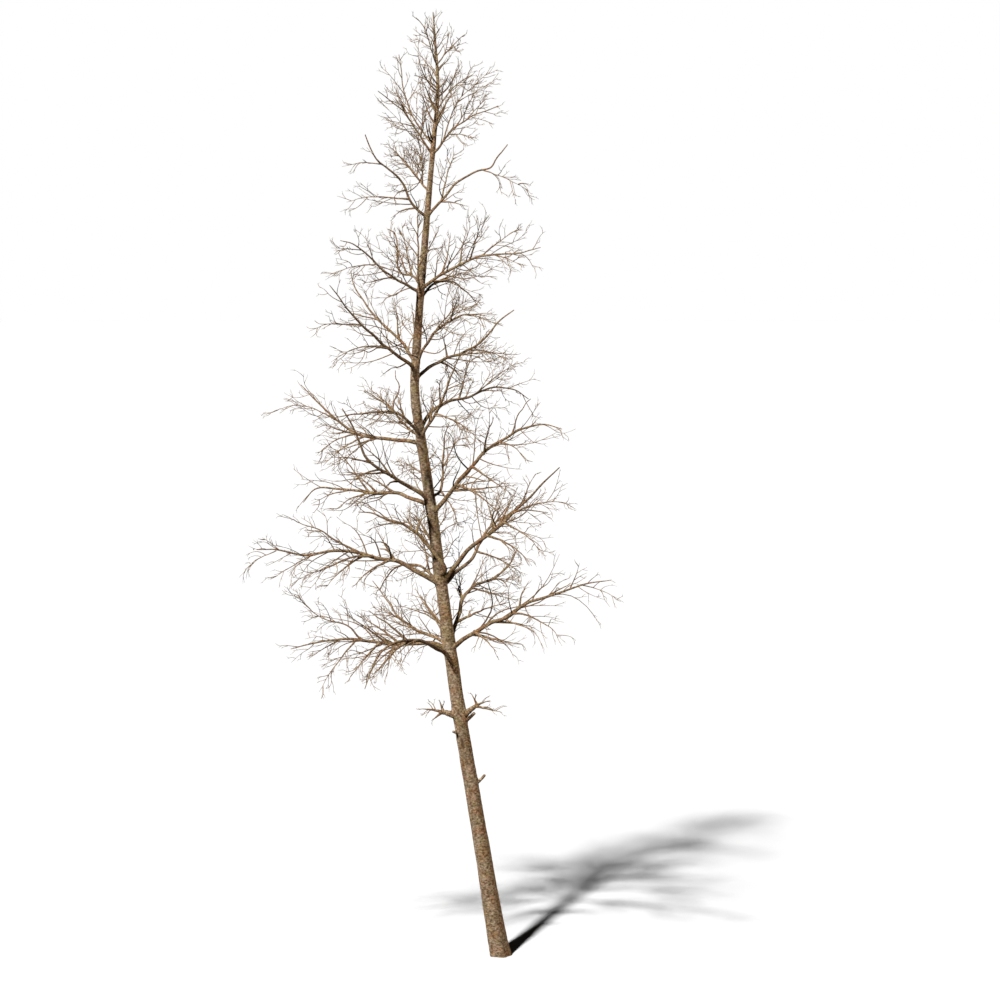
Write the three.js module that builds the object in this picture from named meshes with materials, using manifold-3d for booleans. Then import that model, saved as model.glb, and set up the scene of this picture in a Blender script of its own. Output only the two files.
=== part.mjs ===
// A dead, leaning pine: trunk with its root flare, main boughs in whorls, three snapped stubs, and
// masses of bare twigs. Millimetres, +Z up, origin at the middle of the flat cut at ground level.
// A bearing is an angle round the trunk seen from above: 0 is +X, 90 is +Y, 180 is -X, 270 the front.

import * as THREE from "three";
import { mergeVertices } from "three/addons/utils/BufferGeometryUtils.js";
import Module from "manifold-3d";

const wasm = await Module();
wasm.setup();

// Trunk sizes
const TREE_HEIGHT = 14000;
const TRUNK_RADIUS = 126; // at the ground, without the root flare
const TRUNK_TAPER = 0.7; // power of the share of height still above
const TRUNK_TIP_RADIUS = 6;
const TRUNK_LEAN = -0.164; // sideways run per unit of height at the ground
const LEAN_EASE = 1.45e-6; // how the lean eases with height
const TRUNK_BENDS = [
  { height: 1600, length: 1400, turn: -0.0114 },
  { height: 3800, length: 1400, turn: 0.0266 },
  { height: 6900, length: 1400, turn: -0.0232 },
  { height: 8450, length: 800, turn: 0.215 },
  { height: 9600, length: 1000, turn: 0.0144 },
  { height: 12900, length: 700, turn: -0.17 },
];
const SWAY_REACH = -70; // slow sway of the trunk in depth
const SWAY_WAVE = 9000;
const FLARE_RADIUS = 36; // what the root flare adds at the ground
const FLARE_HEIGHT = 750;
const FLARE_LOBES = 5;
const LOBE_DEPTH = 0.09;
const LOBE_HEIGHT = 350;
const TRUNK_SIDES = 16;
const TRUNK_STEPS = 32;

// How the parts meet
const SEAT_GAP = 0.3; // a limb is this far clear of what it grows from
const CLEARANCE = 8; // a twig passes other parts at least this far off
const GROUND_CLEARANCE = 1500; // no twig hangs below this height

// Limbs: bough and stem in one curve
const LIMB_STEPS = 8;
const LIMB_TAPER = 1;
const LIMB_TIP_RADIUS = 5;
const SNAPPED_TIP_RADIUS = 7;
const LIMB_WOBBLE = 5; // degrees
const BOUGH_SIDES = 6;
const STEM_SIDES = 4;
const BARE_COLLAR = 110; // bare length of a stem before its first side limb
const SNAPPED_BARE_FROM = 0.62; // a snapped limb carries no twigs beyond this share
const ARM_STEP = 330; // length of one straight step of an arm
const SNAG_STEP = 110; // and of a snapped arm
const ARM_WOBBLE = 8;
const ARM_GIRTH = 0.78; // root radius against the stem's there
const STUB_STEPS = 2;

// Branching rule: side limbs on the stems and arms
const GOLDEN_TURN = 137.5;
const CROWDING = 1.6; // shoots stand closer towards their parent's root
const LIFT_LOW = -0.12; // how far twigs turn up by their tips, low on the tree and at its top
const LIFT_HIGH = 0.16;
const SIDE = {
  spacing: 110, angle: [46, 30], share: 0.32, least: 400, ease: 1300, spread: 0.4,
  wobble: 0.15, girth: 0.45, thinnest: 8,
};
const SIDES_KEPT = 6; // one side limb in this many is a solid here

// Limbs from the ground up. Heights and lengths run along the trunk's and the limb's own middle lines;
// rise, and bearing where it turns, are given at even steps from root to tip; bough is the share of the
// limb before its mass, twigsFrom and twigsTo bound the shares that carry side limbs, and tip is the
// end radius of a stump.
const LIMBS = [
  {
    name: "low_left", height: 3640, bearing: 195, length: 320, radius: 58, tip: 25, snapped: true,
    rise: [14, 16],
    arms: [
      { at: 0.84, bearing: 190, length: 380, rise: [4, 10, 0] },
      { at: 0.8, bearing: 168, length: 200, rise: [72, 60] },
      { at: 0.88, bearing: 214, length: 210, rise: [-34, -26] },
    ],
  },
  {
    name: "low_right", height: 3600, bearing: 342, length: 360, radius: 52, tip: 21, snapped: true,
    rise: [38, 36],
    arms: [
      { at: 0.9, bearing: 344, length: 240, rise: [18, 24] },
      { at: 0.86, bearing: 336, length: 430, rise: [-26, 4, -14] },
      { at: 0.94, bearing: 160, length: 210, rise: [64, 48] },
    ],
  },

  {
    name: "w1_left_low", height: 4440, bearing: 234, length: 2410, radius: 33, bough: 0.375,
    rise: [39, 21, 2, -33, -63],
    arms: [
      { at: 0.4, bearing: 246, length: 740, rise: [10, -30] },
      { at: 0.45, bearing: 214, length: 910, rise: [-20, -50] },
      { at: 0.6, bearing: 254, length: 650, rise: [-40, -60] },
    ],
  },
  {
    name: "w1_left", height: 4600, bearing: 196, length: 2440, radius: 36, bough: 0.25,
    rise: [33, 4, 6, 5, -6, -13],
    arms: [
      { at: 0.27, bearing: 184, length: 780, rise: [44, 36, 42], snapped: true },
      { at: 0.3, bearing: 221, length: 820, rise: [-16, -48] },
      { at: 0.33, bearing: 176, length: 770, rise: [50, 38, 30] },
      { at: 0.4, bearing: 212, length: 910, rise: [46, 30] },
      { at: 0.45, bearing: 224, length: 840, rise: [-24, -52] },
      { at: 0.56, bearing: 200, length: 1330, rise: [65, 25, 31, 56] },
      { at: 0.6, bearing: 212, length: 960, rise: [-38, -58] },
      { at: 0.7, bearing: 188, length: 560, rise: [-20, -50] },
    ],
  },
  {
    name: "w1_left_back", height: 4680, bearing: 143, length: 1780, radius: 27,
    rise: [28, 10, 24, 54, 30],
    arms: [
      { at: 0.25, bearing: 172, length: 760, rise: [30, 14] },
      { at: 0.38, bearing: 165, length: 700, rise: [40, 25] },
      { at: 0.55, bearing: 130, length: 520, rise: [20, 0] },
    ],
  },
  {
    name: "w1_right", height: 4620, bearing: 317, length: 3450, radius: 35, bough: 0.125,
    rise: [37, 34, 15, 33, 17, 15, 12, 5],
    arms: [
      { at: 0.15, bearing: 335, length: 820, rise: [-4, -20] },
      { at: 0.17, bearing: 305, length: 670, rise: [-8, -30] },
      { at: 0.3, bearing: 335, length: 670, rise: [6, -20] },
      { at: 0.42, bearing: 311, length: 1200, rise: [2, -14, -54] },
      { at: 0.47, bearing: 357, length: 440, rise: [85, 62] },
      { at: 0.66, bearing: 322, length: 430, rise: [32, 32], snapped: true },
      { at: 0.78, bearing: 332, length: 390, rise: [58, 70] },
      { at: 0.84, bearing: 321, length: 740, rise: [-8, -26] },
    ],
  },
  {
    name: "w1_right_back", height: 4640, length: 2300, radius: 34, twigsFrom: 0.3,
    bearing: [71, 66, 44, 30],
    rise: [50, 52, 62, 14, 9, 36, 76],
    arms: [
      { at: 0.2, bearing: 22, length: 880, rise: [16, 4] },
      { at: 0.36, bearing: 118, length: 420, rise: [50, 62] },
      { at: 0.5, bearing: 12, length: 760, rise: [-16, -22] },
      { at: 0.6, bearing: 24, length: 640, rise: [10, -20] },
      { at: 0.7, bearing: 20, length: 460, rise: [-5, -20] },
    ],
  },
  {
    name: "w1_back", height: 4520, bearing: 104, length: 2350, radius: 29,
    rise: [30, 20, 10, 6],
    arms: [
      { at: 0.42, bearing: 132, length: 900, rise: [24, 4] },
      { at: 0.55, bearing: 78, length: 850, rise: [14, 0] },
    ],
  },

  {
    name: "w2_left", height: 5590, bearing: 200, length: 2950, radius: 38, bough: 0.25,
    rise: [29, 29, 17, 14, -10, 8, 3],
    arms: [
      { at: 0.28, bearing: 179, length: 520, rise: [70, 52] },
      { at: 0.31, bearing: 214, length: 730, rise: [-10, -44] },
      { at: 0.4, bearing: 216, length: 1470, rise: [0, -14, -30] },
      { at: 0.44, bearing: 210, length: 840, rise: [-24, -46] },
      { at: 0.48, bearing: 186, length: 1250, rise: [34, 24, 25] },
      { at: 0.6, bearing: 210, length: 1130, rise: [-8, -34] },
      { at: 0.88, bearing: 192, length: 330, rise: [44, 40] },
      { at: 0.9, bearing: 200, length: 680, rise: [-22, -46] },
    ],
  },
  {
    name: "w2_left_back", height: 5480, bearing: 145, length: 1520, radius: 24,
    rise: [54, 46, 4, -12, -45, -70],
    arms: [
      { at: 0.24, bearing: 150, length: 1020, rise: [78, 80, 56] },
    ],
  },
  {
    name: "w2_front", height: 5740, length: 1900, radius: 38, twigsFrom: 0.52,
    bearing: [350, 213, 190, 195, 195, 195, 195, 195],
    rise: [9, 56, 58, 48, 31, 20, 20, -1],
    arms: [
      { at: 0.5, bearing: 0, length: 360, rise: [93, 60, 40, 10], snapped: true },
      { at: 0.68, bearing: 216, length: 560, rise: [0, -18] },
      { at: 0.76, bearing: 180, length: 520, rise: [36, 24] },
    ],
  },
  {
    name: "w2_right", height: 5590, bearing: 314, length: 3030, radius: 36, bough: 0.375, snapped: true,
    rise: [50, 47, 28, 36, 39, 45, 34],
    arms: [
      { at: 0.41, bearing: 338, length: 850, rise: [-18, -42] },
      { at: 0.46, bearing: 336, length: 750, rise: [52, 40] },
      { at: 0.48, bearing: 136, length: 580, rise: [66, 60] },
      { at: 0.51, bearing: 6, length: 600, rise: [70, 60] },
      { at: 0.54, bearing: 304, length: 1150, rise: [-6, -36] },
      { at: 0.62, bearing: 318, length: 1140, rise: [26, 10, -8] },
      { at: 0.7, bearing: 356, length: 490, rise: [70, 55] },
    ],
  },
  {
    name: "w2_right_back", height: 5560, length: 2500, radius: 32, bough: 0.375,
    bearing: [70, 48, 26, 16],
    rise: [5, 31, 30, 62, 22, 12, -25],
    arms: [
      { at: 0.42, bearing: 15, length: 800, rise: [-10, -35] },
      { at: 0.5, bearing: 10, length: 620, rise: [44, 30] },
      { at: 0.6, bearing: 58, length: 750, rise: [50, 40] },
    ],
  },
  {
    name: "w2_back", height: 5660, bearing: 100, length: 2400, radius: 29,
    rise: [36, 22, 12, 8],
    arms: [
      { at: 0.42, bearing: 74, length: 900, rise: [28, 15] },
      { at: 0.55, bearing: 126, length: 850, rise: [20, 5] },
    ],
  },

  {
    name: "w3_left", height: 6830, bearing: 222, length: 2270, radius: 32, bough: 0.25, snapped: true,
    rise: [34, 31, 27, 31, 52, 70, 46],
    arms: [
      { at: 0.3, bearing: 246, length: 770, rise: [10, -16] },
      { at: 0.36, bearing: 202, length: 750, rise: [50, 36] },
      { at: 0.43, bearing: 210, length: 710, rise: [8, -4] },
      { at: 0.48, bearing: 239, length: 740, rise: [0, -20] },
      { at: 0.55, bearing: 220, length: 870, rise: [14, 4] },
    ],
  },
  {
    name: "w3_left_low", height: 6770, bearing: 160, length: 2200, radius: 32, bough: 0.25,
    rise: [24, 18, 0, 1, 5, -8, -70],
    arms: [
      { at: 0.28, bearing: 178, length: 620, rise: [44, 24] },
      { at: 0.33, bearing: 150, length: 700, rise: [-8, -34] },
      { at: 0.41, bearing: 178, length: 600, rise: [46, 18] },
      { at: 0.44, bearing: 168, length: 700, rise: [-14, -36] },
      { at: 0.47, bearing: 156, length: 1060, rise: [42, 43, 26] },
      { at: 0.62, bearing: 178, length: 620, rise: [-15, -35] },
    ],
  },
  {
    name: "w3_right", height: 6640, bearing: 320, length: 3010, radius: 34, bough: 0.125,
    rise: [41, 42, 43, 39, 25, 20, 12, -32],
    arms: [
      { at: 0.18, bearing: 349, length: 1010, rise: [2, 2, 20] },
      { at: 0.22, bearing: 329, length: 900, rise: [-20, -44] },
      { at: 0.36, bearing: 334, length: 770, rise: [-16, -38] },
      { at: 0.46, bearing: 284, length: 620, rise: [58, 36] },
      { at: 0.58, bearing: 314, length: 700, rise: [-5, -30] },
      { at: 0.68, bearing: 329, length: 610, rise: [79, 38], snapped: true },
    ],
  },
  {
    name: "w3_right_back", height: 6850, length: 1380, radius: 23,
    bearing: [66, 58, 48, 44],
    rise: [29, 8, 84, 88, 88, 86, 40],
    arms: [
      { at: 0.24, bearing: 330, length: 660, rise: [-30, -78] },
      { at: 0.5, bearing: 24, length: 720, rise: [66, 44] },
      { at: 0.7, bearing: 340, length: 520, rise: [20, 0] },
    ],
  },
  {
    name: "w3_back", height: 6740, bearing: 98, length: 2050, radius: 25,
    rise: [34, 24, 14],
    arms: [
      { at: 0.42, bearing: 125, length: 750, rise: [25, 10] },
      { at: 0.55, bearing: 72, length: 700, rise: [20, 5] },
    ],
  },

  {
    name: "w4_left", height: 7690, bearing: 168, length: 2140, radius: 30, bough: 0.25,
    rise: [8, 5, 10, 30, 44, 41, 49],
    arms: [
      { at: 0.28, bearing: 178, length: 560, rise: [28, 12] },
      { at: 0.33, bearing: 190, length: 640, rise: [-10, -28] },
      { at: 0.41, bearing: 188, length: 780, rise: [-24, -40] },
      { at: 0.44, bearing: 180, length: 700, rise: [24, 8] },
      { at: 0.47, bearing: 160, length: 720, rise: [-14, -34] },
      { at: 0.58, bearing: 176, length: 1120, rise: [28, 19, 4, -32] },
    ],
  },
  {
    name: "w4_left_front", height: 7780, length: 1700, radius: 26,
    bearing: [240, 225, 205, 195],
    rise: [40, 36, 26, 4, -4, -10, -12],
    arms: [
      { at: 0.44, bearing: 0, length: 640, rise: [97, 76, 63, 97, 123, 78], snapped: true },
      { at: 0.42, bearing: 170, length: 560, rise: [40, 24] },
      { at: 0.3, bearing: 120, length: 480, rise: [62, 50] },
      { at: 0.5, bearing: 255, length: 700, rise: [10, -15] },
    ],
  },
  {
    name: "w4_left_back", height: 7800, bearing: 128, length: 1400, radius: 20,
    rise: [10, 38, 14],
    arms: [],
  },
  {
    name: "w4_right_back", height: 7880, length: 2400, radius: 29, bough: 0.375,
    bearing: [64, 52, 32, 26],
    rise: [40, 40, 14, 7, 17, 16, -16, -32],
    arms: [
      { at: 0.46, bearing: 35, length: 1060, rise: [68, 73, 36] },
      { at: 0.6, bearing: 18, length: 820, rise: [42, 26] },
    ],
  },
  {
    name: "w4_right_front", height: 7770, bearing: 308, length: 1620, radius: 24,
    rise: [46, 46, 54, 57, 57],
    arms: [
      { at: 0.32, bearing: 328, length: 940, rise: [-6, -46] },
      { at: 0.22, bearing: 60, length: 520, rise: [78, 66] },
      { at: 0.45, bearing: 270, length: 480, rise: [62, 50] },
      { at: 0.6, bearing: 350, length: 420, rise: [36, 18] },
    ],
  },

  {
    name: "w5_left", height: 8800, bearing: 226, length: 2110, radius: 27,
    rise: [25, 27, 34, 41, 45, 50],
    arms: [
      { at: 0.3, bearing: 218, length: 1100, rise: [12, -14, -34] },
      { at: 0.6, bearing: 211, length: 870, rise: [6, 0, -40] },
    ],
  },
  {
    name: "w5_left_back", height: 8890, bearing: 146, length: 1840, radius: 24,
    rise: [49, 46, 33, 44, 54, 76],
    arms: [
      { at: 0.26, bearing: 100, length: 680, rise: [70, 64, 45] },
      { at: 0.5, bearing: 165, length: 620, rise: [20, 5] },
    ],
  },
  {
    name: "w5_right_front", height: 8790, bearing: 310, length: 1940, radius: 24,
    rise: [57, 53, 35, 27, 16, -1, -4],
    arms: [
      { at: 0.3, bearing: 336, length: 920, rise: [58, 44, 34] },
      { at: 0.42, bearing: 8, length: 780, rise: [44, 30, 18] },
      { at: 0.58, bearing: 288, length: 740, rise: [40, 24] },
      { at: 0.74, bearing: 328, length: 620, rise: [4, -24] },
    ],
  },
  {
    name: "w5_right_back", height: 8640, length: 2080, radius: 27, bough: 0.25, snapped: true,
    bearing: [58, 40, 20, 16],
    rise: [30, 26, 11, 20, 18, 47, 50, 20],
    arms: [
      { at: 0.29, bearing: 42, length: 600, rise: [-26, -44] },
      { at: 0.36, bearing: 150, length: 420, rise: [76, 70] },
      { at: 0.42, bearing: 16, length: 820, rise: [4, -12] },
      { at: 0.55, bearing: 20, length: 670, rise: [4, -36] },
    ],
  },
  {
    name: "w5_back", height: 8860, bearing: 92, length: 1750, radius: 22,
    rise: [36, 26, 18],
    arms: [
      { at: 0.45, bearing: 66, length: 650, rise: [25, 15] },
    ],
  },

  {
    name: "w6_left", height: 9920, bearing: 215, length: 1610, radius: 22,
    rise: [24, 28, 31, 41, 24, 6],
    arms: [
      { at: 0.34, bearing: 231, length: 670, rise: [-5, -18] },
      { at: 0.55, bearing: 205, length: 770, rise: [-4, -26] },
      { at: 0.76, bearing: 203, length: 470, rise: [10, 4] },
    ],
  },
  {
    name: "w6_left_back", height: 10000, bearing: 122, length: 1440, radius: 18, snapped: true,
    rise: [70, 20, 0, 20, 85, 95, 40, 25],
    arms: [
      { at: 0.2, bearing: 150, length: 800, rise: [80, 72] },
      { at: 0.3, bearing: 172, length: 760, rise: [66, 56] },
      { at: 0.4, bearing: 150, length: 520, rise: [15, 5] },
      { at: 0.5, bearing: 85, length: 560, rise: [20, 10] },
    ],
  },
  {
    name: "w6_front", height: 9880, bearing: 262, length: 1480, radius: 18,
    rise: [20, 88, 92, 86],
    arms: [
      { at: 0.35, bearing: 310, length: 640, rise: [54, 44] },
      { at: 0.45, bearing: 190, length: 460, rise: [56, 44] },
      { at: 0.65, bearing: 225, length: 320, rise: [50, 40] },
      { at: 0.75, bearing: 320, length: 300, rise: [50, 40] },
    ],
  },
  {
    name: "w6_right", height: 9970, bearing: 324, length: 2230, radius: 24,
    rise: [29, 24, 20, 12, 2, 10, 18],
    arms: [
      { at: 0.2, bearing: 63, length: 650, rise: [72, 64] },
      { at: 0.36, bearing: 38, length: 510, rise: [80, 74] },
      { at: 0.44, bearing: 293, length: 820, rise: [52, 40] },
      { at: 0.53, bearing: 333, length: 740, rise: [36, 40] },
      { at: 0.66, bearing: 313, length: 700, rise: [-8, -22] },
    ],
  },
  {
    name: "w6_right_back", height: 9820, length: 1440, radius: 21,
    bearing: [58, 52, 42, 34],
    rise: [36, 32, -5, -33, -58],
    arms: [
      { at: 0.3, bearing: 75, length: 560, rise: [70, 62] },
      { at: 0.4, bearing: 28, length: 880, rise: [45, -4, -10] },
    ],
  },

  {
    name: "w7_left", height: 11020, bearing: 210, length: 1590, radius: 20, snapped: true,
    rise: [37, 41, 68, 33, 31, 64, 73],
    arms: [
      { at: 0.14, bearing: 170, length: 420, rise: [-10, -30] },
      { at: 0.24, bearing: 186, length: 940, rise: [16, -12] },
      { at: 0.34, bearing: 240, length: 460, rise: [-10, -40] },
      { at: 0.68, bearing: 198, length: 600, rise: [6, -10] },
    ],
  },
  {
    name: "w7_left_back", height: 11370, bearing: 128, length: 1060, radius: 15,
    rise: [34, 37, 33],
    arms: [
      { at: 0.2, bearing: 215, length: 800, rise: [84, 80] },
      { at: 0.3, bearing: 170, length: 620, rise: [50, 40] },
      { at: 0.4, bearing: 80, length: 560, rise: [45, 35] },
    ],
  },
  {
    name: "w7_right", height: 11030, bearing: 342, length: 1670, radius: 20, snapped: true, twigsTo: 0.28,
    rise: [48, 47, 45, 29, 11, 57, 41],
    arms: [
      { at: 0.18, bearing: 350, length: 420, rise: [4, -20] },
      { at: 0.2, bearing: 62, length: 820, rise: [62, 50] },
      { at: 0.66, bearing: 335, length: 810, rise: [-8, -34] },
    ],
  },

  {
    name: "w8_left", height: 11930, bearing: 204, length: 1250, radius: 16,
    rise: [57, 55, 51, 37, 33],
    arms: [
      { at: 0.25, bearing: 280, length: 640, rise: [66, 56] },
      { at: 0.4, bearing: 195, length: 460, rise: [20, 5] },
      { at: 0.5, bearing: 180, length: 520, rise: [68, 60] },
    ],
  },
  {
    name: "w8_left_back", height: 12060, bearing: 140, length: 1560, radius: 14,
    rise: [42, 48, 62, 80, 84],
    arms: [
      { at: 0.22, bearing: 70, length: 650, rise: [60, 56] },
      { at: 0.4, bearing: 190, length: 520, rise: [60, 50] },
    ],
  },
  {
    name: "w8_right", height: 11940, bearing: 336, length: 1280, radius: 16,
    rise: [49, 47, 40, 33, 15, 13],
    arms: [
      { at: 0.2, bearing: 30, length: 1300, rise: [62, 68, 44, 50] },
      { at: 0.3, bearing: 305, length: 560, rise: [4, -22] },
      { at: 0.42, bearing: 320, length: 620, rise: [62, 48] },
      { at: 0.6, bearing: 355, length: 420, rise: [58, 40] },
    ],
  },

  {
    name: "w9_left", height: 12880, bearing: 205, length: 430, radius: 10,
    rise: [42, 26, 6],
    arms: [
      { at: 0.3, bearing: 120, length: 380, rise: [58, 50] },
      { at: 0.5, bearing: 240, length: 280, rise: [52, 40] },
    ],
  },
  {
    name: "w9_right", height: 12560, bearing: 14, length: 780, radius: 11,
    rise: [62, 54, 34, 24],
    arms: [
      { at: 0.2, bearing: 85, length: 520, rise: [62, 52] },
      { at: 0.42, bearing: 300, length: 460, rise: [60, 48] },
      { at: 0.6, bearing: 345, length: 340, rise: [4, -10] },
    ],
  },
  {
    name: "top_left", height: 13290, bearing: 200, length: 700, radius: 9,
    rise: [60, 70, 66, 48],
    arms: [
      { at: 0.3, bearing: 150, length: 300, rise: [38, 28] },
      { at: 0.5, bearing: 260, length: 280, rise: [36, 24] },
    ],
  },
  {
    name: "top_right", height: 13240, bearing: 345, length: 600, radius: 9,
    rise: [50, 44, 38],
    arms: [
      { at: 0.3, bearing: 60, length: 380, rise: [66, 58] },
      { at: 0.5, bearing: 310, length: 300, rise: [10, 0] },
    ],
  },
];

// Short stubs of boughs that snapped off
const STUBS = [
  { name: "stub_right", height: 2555, bearing: 345, length: 290, rise: [45, 48], radius: 25 },
  { name: "stub_left", height: 3325, bearing: 220, length: 215, rise: [38, 14], radius: 23 },
  { name: "stub_low_right", height: 3500, bearing: 326, length: 310, rise: [38, 42], radius: 29 },
];

// Finish
const TRUNK_COLOUR = 0x8f7859;
const BOUGH_COLOUR = 0x87725a;
const TWIG_COLOUR = 0x7a6852;

const UP = new THREE.Vector3(0, 0, 1);
const { degToRad, lerp } = THREE.MathUtils;

// Repeatable chance: whole-number mixing, so each limb has its own draws whatever else grows

function mixed(number) {
  let n = number | 0;
  n = Math.imul(n ^ (n >>> 16), 0x45d9f3b);
  n = Math.imul(n ^ (n >>> 16), 0x45d9f3b);
  return (n ^ (n >>> 16)) >>> 0;
}

function childSeed(seed, index) {
  return mixed(seed ^ Math.imul(index + 1, 0x85ebca6b));
}

function chance(seed, draw) {
  return mixed(seed + Math.imul(draw + 1, 0x9e3779b9)) / 2 ** 32;
}

function swing(seed, draw) {
  return 2 * chance(seed, draw) - 1;
}

// Trunk line and girth

function bendRun(share) {
  if (share <= 0) return 0;
  if (share >= 1) return share - 0.5;
  return share ** 3 - share ** 4 / 2;
}

function trunkCentre(height) {
  let x = TRUNK_LEAN * height + LEAN_EASE * height * height;
  for (const bend of TRUNK_BENDS) {
    x += bend.turn * bend.length * bendRun((height - bend.height) / bend.length + 0.5);
  }
  const y = SWAY_REACH * Math.sin((2 * Math.PI * height) / SWAY_WAVE);
  return new THREE.Vector3(x, y, height);
}

function trunkRadius(height) {
  const left = Math.max(0, 1 - height / TREE_HEIGHT);
  const flare = FLARE_RADIUS * Math.exp(-height / FLARE_HEIGHT);
  return TRUNK_TIP_RADIUS + (TRUNK_RADIUS - TRUNK_TIP_RADIUS) * left ** TRUNK_TAPER + flare;
}

function rootLobes(height, angle) {
  return 1 + LOBE_DEPTH * Math.exp(-height / LOBE_HEIGHT) * Math.cos(FLARE_LOBES * angle);
}

function trunkRings(extraRadius) {
  const rings = [];
  for (let i = 0; i <= TRUNK_STEPS; i++) {
    const height = TREE_HEIGHT * (i / TRUNK_STEPS) ** 1.2;
    rings.push({
      centre: trunkCentre(height),
      normal: new THREE.Vector3(1, 0, 0),
      binormal: new THREE.Vector3(0, 1, 0),
      radius: trunkRadius(height) + extraRadius,
    });
  }
  return rings;
}

// Solids

function solidFrom(geometry) {
  geometry.deleteAttribute("normal");
  geometry.deleteAttribute("uv");
  const merged = mergeVertices(geometry);
  return new wasm.Manifold(new wasm.Mesh({
    numProp: 3,
    vertProperties: new Float32Array(merged.attributes.position.array),
    triVerts: new Uint32Array(merged.index.array),
  }));
}

// A closed tapering tube through a row of rings; a last radius of nothing gives a point
function tube(rings, sides, swell = () => 1) {
  const steps = rings.length - 1;
  const topRadius = rings[steps].radius > 0 ? 1 : 0;
  const geometry = new THREE.CylinderGeometry(topRadius, 1, steps, sides, steps);
  const position = geometry.attributes.position;
  for (let i = 0; i < position.count; i++) {
    const ring = rings[Math.round(position.getY(i) + steps / 2)];
    const turn = Math.atan2(position.getX(i), position.getZ(i)) / (2 * Math.PI);
    const side = Math.round(turn * sides + sides) % sides;
    const angle = (2 * Math.PI * side) / sides;
    const onAxis = Math.hypot(position.getX(i), position.getZ(i)) < 1e-6;
    const reach = onAxis ? 0 : ring.radius * swell(ring.centre.z, angle);
    const place = ring.centre.clone()
      .addScaledVector(ring.normal, reach * Math.cos(angle))
      .addScaledVector(ring.binormal, reach * Math.sin(angle));
    position.setXYZ(i, place.x, place.y, place.z);
  }
  return solidFrom(geometry);
}

// Rings square to a limb's line, each turned as little as possible from the one before
function ringsAlong(points, radii) {
  const last = points.length - 1;
  const rings = [];
  for (let i = 0; i <= last; i++) {
    const before = points[i].clone().sub(points[Math.max(i - 1, 0)]).normalize();
    const after = points[Math.min(i + 1, last)].clone().sub(points[i]).normalize();
    const tangent = before.add(after).normalize();
    const guide = i > 0 ? rings[i - 1].normal : crosswise(tangent);
    const normal = guide.clone().addScaledVector(tangent, -guide.dot(tangent)).normalize();
    const binormal = tangent.clone().cross(normal);
    rings.push({ centre: points[i], tangent, normal, binormal, radius: radii[i] });
  }
  return rings;
}

// A level direction square to a heading
function crosswise(heading) {
  const across = heading.clone().cross(UP);
  if (across.lengthSq() < 1e-4) across.set(1, 0, 0);
  return across.normalize();
}

// Growth of one limb

function heading(bearing, rise) {
  const round = degToRad(bearing);
  const climb = degToRad(rise);
  const level = Math.cos(climb);
  return new THREE.Vector3(level * Math.cos(round), level * Math.sin(round), Math.sin(climb));
}

// A value at some share of the way through an even row of values
function valueAt(values, share) {
  if (values.length === 1) return values[0];
  const along = share * (values.length - 1);
  const i = Math.min(Math.floor(along), values.length - 2);
  return lerp(values[i], values[i + 1], along - i);
}

// A limb that follows its row of slopes, with a seeded kink at each step
function curvedLimb(start, { bearing, length, rise }, steps, wobble, seed) {
  const points = [start.clone()];
  for (let i = 0; i < steps; i++) {
    const share = (i + 0.5) / steps;
    const round = valueAt([bearing].flat(), share) + wobble * swing(seed, 2 * i);
    const climb = valueAt(rise, share) + wobble * swing(seed, 2 * i + 1);
    points.push(points[i].clone().addScaledVector(heading(round, climb), length / steps));
  }
  return points;
}

function taperedRadii(steps, rootRadius, tipRadius) {
  const radii = [];
  for (let i = 0; i <= steps; i++) {
    radii.push(tipRadius + (rootRadius - tipRadius) * (1 - i / steps) ** LIMB_TAPER);
  }
  return radii;
}

function pointAt(limb, share) {
  const along = share * (limb.points.length - 1);
  const i = Math.min(Math.floor(along), limb.points.length - 2);
  return limb.points[i].clone().lerp(limb.points[i + 1], along - i);
}

function headingAt(limb, share) {
  const i = Math.min(Math.floor(share * (limb.points.length - 1)), limb.points.length - 2);
  return limb.points[i + 1].clone().sub(limb.points[i]).normalize();
}

// Branching rule: the direction of a side shoot, turned round its parent by the golden angle
function shootAim(parent, share, index, seed) {
  const along = headingAt(parent, share);
  const across = crosswise(along);
  const over = across.clone().cross(along);
  const roll = degToRad(GOLDEN_TURN * index + 360 * chance(parent.seed, 99) + 25 * swing(seed, 1));
  const lean = degToRad(lerp(SIDE.angle[0], SIDE.angle[1], share) + 8 * swing(seed, 2));
  const outward = across.multiplyScalar(Math.cos(roll)).addScaledVector(over, Math.sin(roll));
  return along.multiplyScalar(Math.cos(lean)).addScaledVector(outward, Math.sin(lean));
}

// A straight shoot that tapers to a point, turned up or down by its lift
function shootFrom(start, aim, lift, length, rootRadius, seed) {
  const turn = new THREE.Vector3(swing(seed, 4), swing(seed, 5), swing(seed, 6));
  const way = aim.clone().addScaledVector(turn, SIDE.wobble).addScaledVector(UP, 0.5 * lift);
  const end = start.clone().addScaledVector(way.normalize(), length);
  return { points: [start, end], radii: [rootRadius, 0] };
}

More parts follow.
